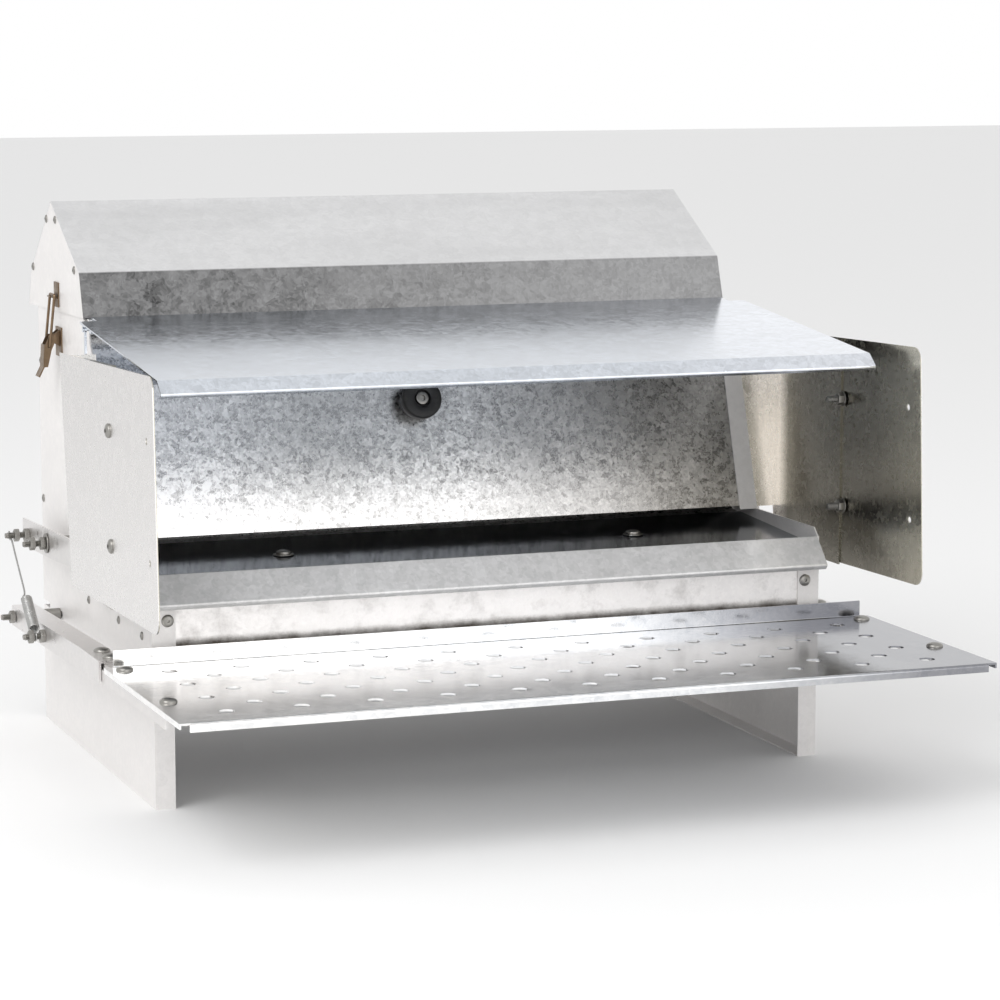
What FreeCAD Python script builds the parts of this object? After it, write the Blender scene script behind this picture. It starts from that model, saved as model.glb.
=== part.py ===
import FreeCAD, Part
import math
import os
from FreeCAD import Vector

# Treadle-operated poultry feeder in folded galvanised sheet, in millimetres.
# X runs across the feeder, +Y runs from the step towards the back, +Z is up.
# Depths below are measured back from the front edge of the step. Export moves
# the origin to the middle of the footprint, on the ground.

# ---- driving sizes -------------------------------------------------------
SHEET = 1.2                 # sheet thickness of the body, trough and guards
BEND = 1.0                  # inside radius of a fold
BODY_WIDTH = 600.0          # outside to outside of the body sides
BODY_DEPTH = 394.8          # front flanges to rear edge of the body
BODY_BOTTOM = 112.0         # lower edge of the body sides
WALL_TOP = 400.0            # top edge of the hopper walls, inside the roof
STAND_TOP = 150.0           # stand plates lap inside the body sides up to here
STAND_FLANGE = 17.0
FACE_FLANGE = 20.0          # front flange of a body side beside the apron
SLOPE_FLANGE = 17.0         # front flange of a body side beside the hopper

TROUGH_DEPTH = 128.8        # body face to the foot of the hopper front
TROUGH_RIM = 202.0          # top edge of the trough ends
PAN_Z = 187.0               # trough floor at the front
PAN_RISE = 6.0              # trough floor rises this much to the hopper
FEED_GAP = 12.0             # slot under the hopper front
LIP_HEIGHT = 23.0
LIP_REACH = 21.0
APRON_BOTTOM = 134.0
HOPPER_LEAN = 17.7          # degrees from upright
HOPPER_FLAT = 130.0         # height of the leaning part of the hopper front
FLOOR_BACK = 300.0          # hopper floor height at the back wall

GUARD_OUTSET = 30.0         # body side to guard wing, outside to outside
WING_BOTTOM = 165.0
WING_TOP = 361.0
WING_LENGTH = 321.0         # front to top rear corner
WING_CORNER = 12.0
SPARE_HOLE_R = 2.8
PLATE_SET_IN = 6.0          # guard plate's rear edge behind the wing's

LID_SLOPE = 5.5             # degrees, front lower, when the lid is open
LID_OUT = 11.0              # lid edge beyond a body side
LID_NOTCH = 18.0            # narrowed rear of the lid, ahead of its hinge
LID_LENGTH = 276.0
LID_LIP = 16.3
LID_LIP_FOLD = 33.0
ROD_R = 2.5
BARREL_R = 4.9

STEP_OUT = 43.0             # step edge beyond a body side
STEP_DEPTH = 236.0
STEP_GAP = 9.2              # step edge to the body face
STEP_TOP = 124.0
STEP_SHEET = 1.5
UPSTAND = 13.5
DRAIN_R = 6.5
DRAIN_PITCH = 59.4
DRAIN_ROW = 27.7
DRAIN_FRONT = 35.0          # first row of holes behind the step's front edge
DRAIN_EDGE = 20.0           # least distance from the last row to the upstand
DRAIN_SIDE = 40.0           # least distance from a row's end to the step's side
STEP_BOLT_IN = 13.5         # step bolts in from the step's side
STEP_BOLT_REAR = 16.5       # rear step bolts ahead of the upstand
STEP_BOLT_FRONT = 83.5      # front step bolts behind the front edge

ARM_OUT = 41.0              # body side to the outside of an arm
ARM_HEIGHT = 19.0
ARM_FLANGE = 21.0
ARM_SHEET = 2.0
ARM_REAR = 14.0             # arm end behind its pivot
ARM_LAP = 64.0              # length over which an arm lies on its step bracket
ARM_BOLTS = (12.0, 42.0)    # arm bolts behind the arm's front end
TREADLE_IN = 64.4           # treadle pivot ahead of the body's rear edge
SPRING_AHEAD = 120.0        # spring bolt ahead of the treadle pivot

ROCKER_OUT = 22.0           # body side to the outer face of a rocker plate
ROCKER_SHEET = 2.0
ROCKER_FRONT = 108.0        # rocker reach in front of its pivot
ROCKER_TAIL = 73.5          # rocker pivot to the tail bolt
ROCKER_LEVER = 100.0        # rocker pivot to the pin of the lift link
LINK_OUT = 7.5              # body side to the middle of a lift link
LINK_FOOT = 25.0            # foot of a lift link ahead of the lid hinge
LINK_SHEET = 1.6
LINK_PIN_R = 1.6
LINK_PLAY = 0.8             # clearance of the link's lower hole on its pin
LIFT_LEVER = 23.0           # lid hinge to the lift link pin
COIL_LENGTH = 46.0
COIL_R = 5.0

ROOF_SIDE_GAP = 0.3
ROOF_FRONT_DROP = 38.0
ROOF_REAR_DROP = 31.0
ROOF_REAR_OUT = 19.5        # rear shoulder of the roof behind the body
RIDGE_IN = 64.5             # ridge ahead of the body's rear edge

BUMPER_X = -15.7            # buffer's place across the hopper front
BUMPER_UP = 105.8           # buffer above the trough rim
BUMPER_R = 18.0
BUMPER_LENGTH = 20.0
BUMPER_RECESS = 4.0
BUMPER_SCREW_TIP = 3.4      # end of the buffer's screw behind the panel's face

BOLT_R = 3.0                # M6
NUT_ACROSS = 10.0
NUT_HEIGHT = 5.0
RIVET_R = 2.4
APRON_RIVET_IN = 13.3       # apron rivets in from the body side
APRON_RIVET_UP = 23.0       # apron rivets above the apron's lower edge
TROUGH_BOLT_X = 161.0       # trough bolts either side of the middle
TROUGH_BOLT_BACK = 89.0     # trough bolts behind the body face
RUN = 0.05                  # radial clearance of a running fit
GAP = 0.4                   # gap between parts that move past each other

# ---- places worked out from the sizes ------------------------------------
HALF = BODY_WIDTH / 2
INNER = HALF - SHEET
FACE_Y = STEP_DEPTH + STEP_GAP
REAR_Y = FACE_Y + BODY_DEPTH
FOOT_Y = FACE_Y + TROUGH_DEPTH
LEAN = math.tan(math.radians(HOPPER_LEAN))
PAN_SLOPE = PAN_RISE / TROUGH_DEPTH
PANEL_FOOT_Z = PAN_Z + PAN_RISE + FEED_GAP
HINGE_Y = FOOT_Y + 76.0
HINGE_Z = TROUGH_RIM + 180.4
WING_X = HALF + GUARD_OUTSET
GUARD_X = WING_X - SHEET - 0.1
WING_FRONT = FACE_Y - 138.0
WING_REAR = WING_FRONT + WING_LENGTH
WING_REAR_FOOT = WING_REAR - 31.0
PLATE_FRONT = WING_FRONT + 155.0
ARM_X = HALF + ARM_OUT
STEP_HALF = HALF + STEP_OUT
LID_HALF = HALF + LID_OUT
LINK_X = HALF + LINK_OUT
TREADLE_Y = REAR_Y - TREADLE_IN
TREADLE_Z = STEP_TOP - 15.6
SPRING_Y = TREADLE_Y - SPRING_AHEAD
SPRING_Z = TREADLE_Z + 3.2
ARM_FRONT = STEP_DEPTH + 24.0
ROCKER_Y = HINGE_Y - LINK_FOOT + ROCKER_LEVER
ROCKER_Z = TROUGH_RIM - 20.0
ROCKER_X = HALF + ROCKER_OUT
TAIL_Y = ROCKER_Y + ROCKER_TAIL
TAIL_Z = ROCKER_Z - 3.0
RIDGE_Y = REAR_Y - RIDGE_IN
RIDGE_Z = WALL_TOP + 82.0
EAVE_Z = HINGE_Z + 4.6
SHOULDER_Z = EAVE_Z + ROOF_FRONT_DROP
EAVE_FRONT = HINGE_Y + 8.0
SHOULDER_FRONT = EAVE_FRONT + 13.0
SHOULDER_REAR = REAR_Y + ROOF_REAR_OUT
SHOULDER_REAR_Z = EAVE_Z + 27.4
EAVE_REAR = SHOULDER_REAR + 11.5
EAVE_REAR_Z = SHOULDER_REAR_Z - ROOF_REAR_DROP
ROOF_HALF = HALF + ROOF_SIDE_GAP + SHEET
LATCH_Y = RIDGE_Y - 19.5
LATCH_PIVOT = (8.0, EAVE_Z - 25.0)
BAIL_PIVOT = (11.0, EAVE_Z - 33.0)
OVERALL_DEPTH = EAVE_REAR


# ---- shape helpers -------------------------------------------------------
def box(x0, x1, y0, y1, z0, z1):
    return Part.makeBox(x1 - x0, y1 - y0, z1 - z0, Vector(x0, y0, z0))


def cylinder_x(x0, x1, y, z, radius):
    return Part.makeCylinder(radius, x1 - x0, Vector(x0, y, z), Vector(1, 0, 0))


def cylinder_y(y0, y1, x, z, radius):
    return Part.makeCylinder(radius, y1 - y0, Vector(x, y0, z), Vector(0, 1, 0))


def cylinder_z(z0, z1, x, y, radius):
    return Part.makeCylinder(radius, z1 - z0, Vector(x, y, z0), Vector(0, 0, 1))


def plate(outline, x0, x1):
    """Flat plate with a (y, z) outline, from x0 to x1."""
    corners = [Vector(x0, y, z) for y, z in outline]
    face = Part.Face(Part.makePolygon(corners + corners[:1]))
    return face.extrude(Vector(x1 - x0, 0, 0))


def slab(outline, z0, z1):
    """Flat plate with an (x, y) outline, from z0 to z1."""
    corners = [Vector(x, y, z0) for x, y in outline]
    face = Part.Face(Part.makePolygon(corners + corners[:1]))
    return face.extrude(Vector(0, 0, z1 - z0))


def profile_y(outline, y0, y1):
    """Solid with an (x, z) outline, from y0 to y1."""
    corners = [Vector(x, y0, z) for x, z in outline]
    face = Part.Face(Part.makePolygon(corners + corners[:1]))
    return face.extrude(Vector(0, y1 - y0, 0))


def normal_left(a, b):
    length = math.hypot(b[0] - a[0], b[1] - a[1])
    return (-(b[1] - a[1]) / length, (b[0] - a[0]) / length)


def offset_left(points, t):
    """Copy of an open outline, moved t to its left with mitred corners."""
    normals = [normal_left(a, b) for a, b in zip(points, points[1:])]
    moved = []
    for i, (y, z) in enumerate(points):
        before = normals[max(i - 1, 0)]
        after = normals[min(i, len(normals) - 1)]
        along = 1 + before[0] * after[0] + before[1] * after[1]
        moved.append((y + t * (before[0] + after[0]) / along,
                      z + t * (before[1] + after[1]) / along))
    return moved


def edge_at(shape, y, z):
    """The edge along X that runs through (y, z)."""
    for edge in shape.Edges:
        ends = [v.Point for v in edge.Vertexes]
        if all(abs(p.y - y) < 0.01 and abs(p.z - z) < 0.01 for p in ends):
            return edge
    raise ValueError("no edge at %.2f, %.2f" % (y, z))


def folded(points, x0, x1, t=SHEET, bend=BEND):
    """Sheet folded along the (y, z) points, t thick on its left-hand side."""
    inner = offset_left(points, t)
    solid = plate(points + inner[::-1], x0, x1)
    for i in range(1, len(points) - 1):
        before = normal_left(points[i - 1], points[i])
        run = (points[i + 1][0] - points[i][0], points[i + 1][1] - points[i][1])
        turns_left = before[0] * run[0] + before[1] * run[1] > 0
        outside, inside = (points[i], inner[i]) if turns_left else (inner[i], points[i])
        solid = solid.makeFillet(bend + t, [edge_at(solid, *outside)])
        solid = solid.makeFillet(bend, [edge_at(solid, *inside)])
    return solid


def joined(first, *others):
    solid = first.multiFuse(list(others)).removeSplitter()
    if len(solid.Solids) != 1:
        raise ValueError("a piece came apart into %d" % len(solid.Solids))
    return solid.Solids[0]


def group(*solids):
    return Part.makeCompound([s for shape in solids for s in shape.Solids])


def mirrored(shape):
    return shape.mirror(Vector(0, 0, 0), Vector(1, 0, 0))


def both(shape):
    return group(shape, mirrored(shape))


def hexagon_x(x0, x1, y, z, across):
    radius = across / math.sqrt(3)
    turns = [math.radians(60 * i) for i in range(6)]
    return plate([(y + radius * math.cos(a), z + radius * math.sin(a)) for a in turns], x0, x1)


def hexagon_z(z0, z1, x, y, across):
    radius = across / math.sqrt(3)
    turns = [math.radians(60 * i) for i in range(6)]
    return slab([(x + radius * math.cos(a), y + radius * math.sin(a)) for a in turns], z0, z1)


def dome(centre, direction, radius, height):
    """Rounded rivet or bolt head standing on a surface."""
    axis = Vector(*direction).normalize()
    ball = (radius * radius + height * height) / (2 * height)
    sphere = Part.makeSphere(ball, Vector(*centre) - axis * (ball - height))
    cutter = Part.makeCylinder(ball * 2, ball * 2, Vector(*centre), axis)
    return sphere.common(cutter)


def rod_path(points, radius, bend):
    """Round wire along straight runs joined by tangent arcs."""
    path = [Vector(*p) for p in points]
    edges = []
    start = path[0]
    for before, corner, after in zip(path, path[1:], path[2:]):
        back = (before - corner).normalize()
        ahead = (after - corner).normalize()
        half = back.getAngle(ahead) / 2
        reach = bend / math.tan(half)
        middle = (back + ahead).normalize() * (bend / math.sin(half) - bend)
        enter = corner + back * reach
        leave = corner + ahead * reach
        edges.append(Part.LineSegment(start, enter).toShape())
        edges.append(Part.Arc(enter, corner + middle, leave).toShape())
        start = leave
    edges.append(Part.LineSegment(start, path[-1]).toShape())
    ring = Part.Wire(Part.makeCircle(radius, path[0], path[1] - path[0]))
    return Part.Wire(edges).makePipeShell([ring], True, True, 2)


# ---- body ----------------------------------------------------------------
def slope_y(z):
    """Front face of the leaning hopper front at height z."""
    return FOOT_Y + (z - TROUGH_RIM) * LEAN


def body_side():
    top = TROUGH_RIM + HOPPER_FLAT
    ear = BARREL_R - 0.7
    outline = [
        (FACE_Y, BODY_BOTTOM), (REAR_Y, BODY_BOTTOM), (REAR_Y, WALL_TOP),
        (EAVE_FRONT + 12, WALL_TOP), (EAVE_FRONT + 8, EAVE_Z + 6), (EAVE_FRONT + 6, EAVE_Z - 3),
        (HINGE_Y + ear, EAVE_Z - 3), (HINGE_Y, HINGE_Z + ear),
        (HINGE_Y - ear, HINGE_Z), (HINGE_Y - 6, HINGE_Z - 16),
        (slope_y(top) + 4, top + 8), (slope_y(top), top), (FOOT_Y, TROUGH_RIM), (FACE_Y + 9, TROUGH_RIM),
        (FACE_Y, TROUGH_RIM - 8)]
    wall = plate(outline, INNER, HALF)
    slope = [(FOOT_Y, TROUGH_RIM), (slope_y(top), top)]
    slope_flange = plate(slope + offset_left(slope, -SHEET)[::-1], HALF - SLOPE_FLANGE, HALF)
    face_flange = box(HALF - FACE_FLANGE, HALF, FACE_Y, FACE_Y + SHEET, BODY_BOTTOM, PAN_Z - LIP_HEIGHT + 3)
    side = joined(wall, slope_flange, face_flange)
    return side.cut(cylinder_x(INNER - 1, HALF + 1, HINGE_Y, HINGE_Z, ROD_R + RUN)).Solids[0]


def panel_back(z):
    """Front face of the hopper panel, behind the flanges of the body sides."""
    return slope_y(z) + SHEET / math.cos(math.radians(HOPPER_LEAN))


def hopper_front_panel():
    top = TROUGH_RIM + HOPPER_FLAT
    points = [
        (panel_back(PANEL_FOOT_Z), PANEL_FOOT_Z), (panel_back(top), top),
        (EAVE_FRONT + 4.5, HINGE_Z - 10), (EAVE_FRONT + 8.5, WALL_TOP - 8)]
    return folded(offset_left(points, -SHEET), -INNER, INNER)


def hopper_back_panel():
    flange = 14.0
    y1 = REAR_Y
    y0 = y1 - SHEET
    wall = box(-INNER, INNER, y0, y1, BODY_BOTTOM, WALL_TOP)
    edges = [box(s - SHEET * (s > 0), s + SHEET * (s < 0), y0 - flange, y0, BODY_BOTTOM, WALL_TOP - 12)
             for s in (-INNER, INNER)]
    return joined(wall, *edges)


def pan_top(y):
    return PAN_Z + (y - FACE_Y) * PAN_SLOPE


def trough_pan():
    front = FACE_Y + 2.0
    back = FOOT_Y + 34.0
    crest = PAN_Z + 7.0
    points = [
        (front - LIP_REACH + 3, crest - LIP_HEIGHT - 1.5), (front - LIP_REACH, crest - LIP_HEIGHT + 1.5),
        (front, crest), (front + 7, pan_top(front) - SHEET), (back, pan_top(back) - SHEET)]
    return folded(points, -INNER, INNER, bend=0.6)


def hopper_floor():
    start = FOOT_Y + 34.2
    points = [(start, pan_top(start) - SHEET), (start + 14, pan_top(start) - SHEET + 1),
              (REAR_Y - 16, FLOOR_BACK), (REAR_Y - 16, FLOOR_BACK + 20)]
    width = INNER - SHEET - 0.2
    return folded(points, -width, width)


def trough_apron():
    y0 = FACE_Y + SHEET
    top = PAN_Z - SHEET - 3
    return box(-INNER, INNER, y0, y0 + SHEET, APRON_BOTTOM, top)


def stand():
    outer = INNER
    inner = outer - SHEET
    flange = outer - STAND_FLANGE
    front = FACE_Y
    back = REAR_Y + 4.8
    top = APRON_BOTTOM - 24
    wall = box(inner, outer, front, back, 0, STAND_TOP).cut(
        box(inner - 1, outer + 1, front - 1, front + 3 * SHEET, top, STAND_TOP + 1)).cut(
        box(inner - 1, outer + 1, REAR_Y - 20, back + 1, BODY_BOTTOM - 6, STAND_TOP + 1))
    front_flange = box(flange, outer, front, front + SHEET, 0, top)
    foot_flange = box(flange, outer, front, back, 0, SHEET)
    back_flange = box(flange, outer, back - SHEET, back, 0, BODY_BOTTOM - 6)
    return joined(wall, front_flange, foot_flange, back_flange)


# ---- side guards ---------------------------------------------------------
def wing_outline():
    return [(WING_FRONT, WING_BOTTOM + 5.5), (WING_REAR_FOOT, WING_BOTTOM),
            (WING_REAR, WING_TOP), (WING_FRONT + 10, WING_TOP + 10)]


def guard_screw_places():
    return [(WING_FRONT + 148.0, WING_BOTTOM + 54.5), (WING_FRONT + 151.0, WING_BOTTOM + 148.5)]


def spare_holes():
    return [(WING_FRONT + 24.5, WING_BOTTOM + 59.0), (WING_FRONT + 30.0, WING_BOTTOM + 154.0)]


def guard_wing():
    outline = wing_outline()
    wing = plate(outline, WING_X - SHEET, WING_X)
    wing = wing.makeFillet(WING_CORNER, [edge_at(wing, *outline[0]), edge_at(wing, *outline[3])])
    for y, z in guard_screw_places():
        wing = wing.cut(cylinder_x(WING_X - 5, WING_X + 5, y, z, BOLT_R + 0.2))
    for y, z in spare_holes():
        wing = wing.cut(cylinder_x(WING_X - 5, WING_X + 5, y, z, SPARE_HOLE_R))
    return wing.Solids[0]


def guard_rear_y(z):
    share = (z - WING_BOTTOM) / (WING_TOP - WING_BOTTOM)
    return WING_REAR_FOOT + share * (WING_REAR - WING_REAR_FOOT) - PLATE_SET_IN


def guard_plate():
    top_front = WING_TOP + 4
    top_rear = WING_TOP - 2
    x0 = GUARD_X - SHEET
    outline = [(PLATE_FRONT, WING_BOTTOM + 1), (guard_rear_y(WING_BOTTOM + 1), WING_BOTTOM + 1),
               (guard_rear_y(top_rear), top_rear), (PLATE_FRONT, top_front)]
    wall = plate(outline, x0, GUARD_X)
    web_foot = ROCKER_Z + 18.5
    rear = [(guard_rear_y(web_foot), web_foot), (guard_rear_y(top_rear), top_rear)]
    web = plate(rear + offset_left(rear, SHEET)[::-1], HALF, GUARD_X)
    web_flange = plate(rear + offset_left(rear, -13)[::-1], HALF, HALF + SHEET)
    top = [(PLATE_FRONT + 10, top_front - 0.4), (guard_rear_y(top_rear), top_rear)]
    top_flange = plate(top + offset_left(top, -SHEET)[::-1], x0 - 8, GUARD_X)
    solid = joined(wall, web, web_flange, top_flange)
    for y, z in guard_screw_places():
        solid = solid.cut(cylinder_x(x0 - 2, GUARD_X + 2, y, z, BOLT_R + 1.2))
    return solid.Solids[0]


def guard_screws():
    shapes = []
    for y, z in guard_screw_places():
        shank = cylinder_x(LID_HALF + 1.2, WING_X, y, z, BOLT_R - 0.4)
        head = dome((WING_X, y, z), (1, 0, 0), 6.0, 3.2)
        shapes.append(joined(shank, head))
    return both(group(*shapes))


def guard_nuts():
    shapes = []
    for y, z in guard_screw_places():
        x1 = GUARD_X - SHEET
        washer = cylinder_x(x1 - 1, x1, y, z, 6.5)
        nut = hexagon_x(x1 - 6, x1 - 1, y, z, 9.0)
        bore = cylinder_x(x1 - 8, x1 + 1, y, z, BOLT_R - 0.4)
        shapes.append(joined(washer, nut).cut(bore))
    return both(group(*shapes))


# ---- rivets, bolts and the bumper ----------------------------------------
def rivet_x(y, z, radius=3.6):
    shank = cylinder_x(INNER - SHEET - 0.8, HALF, y, z, RIVET_R)
    return joined(shank, dome((HALF, y, z), (1, 0, 0), radius, 1.6))


def side_rivet_places():
    return [(FACE_Y + 31.8, STAND_TOP - 10), (FACE_Y + 110, STAND_TOP - 10), (FACE_Y + 216, STAND_TOP - 10),
            (REAR_Y - 8, TROUGH_RIM + 5), (REAR_Y - 8, TROUGH_RIM + 132)]


def body_rivets():
    sides = [rivet_x(y, z) for y, z in side_rivet_places()]
    x = HALF - APRON_RIVET_IN
    z = APRON_BOTTOM + APRON_RIVET_UP
    front = joined(cylinder_y(FACE_Y, FACE_Y + 3.2, x, z, RIVET_R),
                   dome((x, FACE_Y, z), (0, -1, 0), 5.2, 2.2))
    return both(group(front, *sides))


def rivet_holes(shape):
    for y, z in side_rivet_places():
        for x0 in (INNER - 4, -HALF - 2):
            shape = shape.cut(cylinder_x(x0, x0 + 6, y, z, RIVET_R))
    for x in (HALF - APRON_RIVET_IN, APRON_RIVET_IN - HALF):
        shape = shape.cut(cylinder_y(FACE_Y - 1, FACE_Y + 4, x, APRON_BOTTOM + APRON_RIVET_UP, RIVET_R))
    return shape


def trough_bolt_places():
    y = FACE_Y + TROUGH_BOLT_BACK
    return [Vector(x, y, pan_top(y)) for x in (-TROUGH_BOLT_X, TROUGH_BOLT_X)]


def trough_bolts():
    shapes = []
    for p in trough_bolt_places():
        shank = cylinder_z(p.z - 12, p.z, p.x, p.y, BOLT_R)
        shapes.append(joined(shank, dome((p.x, p.y, p.z - 0.1), (0, 0, 1), 6.5, 4.0)))
        nut = hexagon_z(p.z - 3 - NUT_HEIGHT, p.z - 3, p.x, p.y, NUT_ACROSS)
        shapes.append(nut.cut(cylinder_z(p.z - 9, p.z, p.x, p.y, BOLT_R)))
    return group(*shapes)


def trough_bolt_holes(shape):
    for p in trough_bolt_places():
        shape = shape.cut(cylinder_z(p.z - 30, p.z + 10, p.x, p.y, BOLT_R))
    return shape


def bumper_frame():
    """Middle of the buffer's foot on the hopper front, and the way it points."""
    z = TROUGH_RIM + BUMPER_UP
    lean = math.radians(HOPPER_LEAN)
    return Vector(BUMPER_X, panel_back(z), z), Vector(0, -math.cos(lean), math.sin(lean))


def lid_bumper():
    foot, axis = bumper_frame()
    body = Part.makeCylinder(BUMPER_R - 3, 5, foot, axis)
    body = body.fuse(Part.makeCone(BUMPER_R - 3, BUMPER_R, BUMPER_LENGTH - 12, foot + axis * 4, axis))
    body = body.fuse(Part.makeCylinder(BUMPER_R, 8, foot + axis * (BUMPER_LENGTH - 8), axis))
    recess = Part.makeCylinder(7.5, 5, foot + axis * (BUMPER_LENGTH - BUMPER_RECESS), axis)
    bore = Part.makeCylinder(BOLT_R + RUN, BUMPER_LENGTH + 2, foot - axis, axis)
    return joined(body).cut(recess).cut(bore).Solids[0]


def bumper_screw():
    foot, axis = bumper_frame()
    seat = foot + axis * (BUMPER_LENGTH - BUMPER_RECESS)
    length = BUMPER_SCREW_TIP + BUMPER_LENGTH - BUMPER_RECESS + 1
    shank = Part.makeCylinder(BOLT_R, length, foot - axis * BUMPER_SCREW_TIP, axis)
    head = Part.makeCylinder(6.0, 3.4, seat, axis)
    return joined(shank, head)


def bumper_hole(shape):
    foot, axis = bumper_frame()
    return shape.cut(Part.makeCylinder(BOLT_R, 20, foot - axis * 10, axis))


# ---- roof ----------------------------------------------------------------
def roof_outline():
    return [(EAVE_REAR, EAVE_REAR_Z), (SHOULDER_REAR, SHOULDER_REAR_Z), (RIDGE_Y, RIDGE_Z),
            (SHOULDER_FRONT, SHOULDER_Z), (EAVE_FRONT, EAVE_Z)]


def roof_cap():
    return folded(roof_outline(), -ROOF_HALF, ROOF_HALF)


def roof_gable():
    inside = offset_left(roof_outline(), SHEET)
    wall = plate(inside, ROOF_HALF - SHEET, ROOF_HALF)
    slopes = inside[1:4]
    flange = plate(slopes + offset_left(slopes, SHEET)[::-1], ROOF_HALF - SHEET - 12, ROOF_HALF)
    tab = flange.cut(box(0, ROOF_HALF - SHEET - 0.01, 0, 999, 0, SHOULDER_REAR_Z + 16))
    return joined(wall, tab).cut(roof_cap()).Solids[0]


def gable_rivets():
    """Round heads, each with a thin straight rim under its dome."""
    rim = 0.6
    places = [(RIDGE_Y + 17, RIDGE_Z - 17), (RIDGE_Y - 17, RIDGE_Z - 16),
              (SHOULDER_REAR - 10, SHOULDER_REAR_Z + 4), (SHOULDER_FRONT + 18, SHOULDER_Z + 1)]
    heads = [joined(cylinder_x(ROOF_HALF, ROOF_HALF + rim, y, z, 3.4),
                    dome((ROOF_HALF + rim, y, z), (1, 0, 0), 3.4, 0.9))
             for y, z in places]
    return group(*heads)


# ---- latches: o is the distance out from the body side --------------------
def out_plate(outline, y0, y1):
    return profile_y([(HALF + o, z) for o, z in outline], y0, y1)


def latch_keeper():
    o = ROOF_HALF - HALF
    z = EAVE_Z + 9
    back = box(HALF + o, HALF + o + 1.2, LATCH_Y - 8, LATCH_Y + 8, z - 7, z + 15)
    shelf = out_plate([(o, z), (o + 8, z + 2.0), (o + 8, z + 3.2), (o, z + 1.6)], LATCH_Y - 5, LATCH_Y + 5)
    return joined(back, shelf)


def latch_base():
    po, pz = LATCH_PIVOT
    back = box(HALF, HALF + 1.2, LATCH_Y - 11, LATCH_Y + 11, pz - 17, pz + 9)
    ear = [(0, pz - 9), (0, pz + 8), (5, pz + 4), (po + 3, pz + 1.5), (po + 3, pz - 1.5), (5, pz - 5)]
    ears = [out_plate(ear, LATCH_Y + s - 0.5, LATCH_Y + s + 0.5) for s in (-4.5, 4.5)]
    pin = cylinder_y(LATCH_Y - 7.0, LATCH_Y + 7.0, HALF + po, pz, 1.5)
    return joined(back, pin, *ears)


def latch_lever():
    po, pz = LATCH_PIVOT
    qo, qz = BAIL_PIVOT
    cheek = [(po - 2.6, pz + 2.6), (po + 2.6, pz + 2.6), (qo + 3.5, qz + 2), (qo + 4.5, qz - 18),
             (qo + 1.5, qz - 18), (qo - 2, qz - 3), (po - 2.6, pz - 3)]
    web = [(qo + 3.3, qz + 2), (qo + 4.5, qz - 18), (qo + 9, qz - 27),
           (qo + 10.1, qz - 26.4), (qo + 5.7, qz - 17.6), (qo + 4.5, qz + 2)]
    cheeks = [out_plate(cheek, LATCH_Y + s - 0.5, LATCH_Y + s + 0.5) for s in (-6.3, 6.3)]
    solid = joined(out_plate(web, LATCH_Y - 6.8, LATCH_Y + 6.8), *cheeks)
    solid = solid.cut(cylinder_y(LATCH_Y - 9, LATCH_Y + 9, HALF + po, pz, 1.5 + RUN))
    return solid.cut(cylinder_y(LATCH_Y - 9, LATCH_Y + 9, HALF + qo, qz, 1.25 + RUN)).Solids[0]


def latch_bail():
    qo, qz = BAIL_PIVOT
    top = EAVE_Z + 9 + 1.6 + 1.25 + 1.2
    o = ROOF_HALF - HALF + 4.5
    w = 8.6
    points = [(HALF + qo, LATCH_Y - 5.6, qz), (HALF + qo, LATCH_Y - w, qz), (HALF + o, LATCH_Y - w, top),
              (HALF + o, LATCH_Y + w, top), (HALF + qo, LATCH_Y + w, qz), (HALF + qo, LATCH_Y + 5.6, qz)]
    return rod_path(points, 1.2, 1.6)


# ---- lid -----------------------------------------------------------------
def lid_top(y):
    """Upper face of the open lid."""
    return HINGE_Z + 5.9 - (HINGE_Y - y) * math.tan(math.radians(LID_SLOPE))


def lid_panel():
    rear_y = HINGE_Y
    slope = math.radians(LID_SLOPE)
    bend_y = rear_y - LID_LENGTH * math.cos(slope)
    fall = math.radians(LID_SLOPE + LID_LIP_FOLD)
    lip_y = bend_y - LID_LIP * math.cos(fall)
    lip_z = lid_top(bend_y) - LID_LIP * math.sin(fall)
    points = [(lip_y + 3.0, lip_z - 3.2), (lip_y, lip_z), (bend_y, lid_top(bend_y)),
              (rear_y, lid_top(rear_y))]
    sheet = folded(offset_left(points, -SHEET), -LID_HALF, LID_HALF, bend=0.8)
    notch_y = HINGE_Y - LID_NOTCH
    for side in (-1, 1):
        x0, x1 = sorted((side * (HALF - 4), side * (LID_HALF + 1)))
        sheet = sheet.cut(box(x0, x1, notch_y, rear_y + 5, HINGE_Z - 30, HINGE_Z + 30))
    tube = cylinder_x(-HALF + 5, HALF - 5, HINGE_Y, HINGE_Z, BARREL_R)
    return joined(sheet, tube).cut(cylinder_x(-HALF, HALF, HINGE_Y, HINGE_Z, ROD_R + RUN)).Solids[0]


def lid_hinge_rod():
    rod = cylinder_x(-HALF - 1.5, HALF + 1.5, HINGE_Y, HINGE_Z, ROD_R)
    caps = [cylinder_x(x0, x0 + 1.8, HINGE_Y, HINGE_Z, 3.6) for x0 in (HALF + 0.1, -HALF - 1.9)]
    return joined(rod, *caps)


def lift_pin_place():
    slope = math.radians(LID_SLOPE)
    return HINGE_Y - LIFT_LEVER * math.cos(slope), HINGE_Z - LIFT_LEVER * math.sin(slope)


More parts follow.
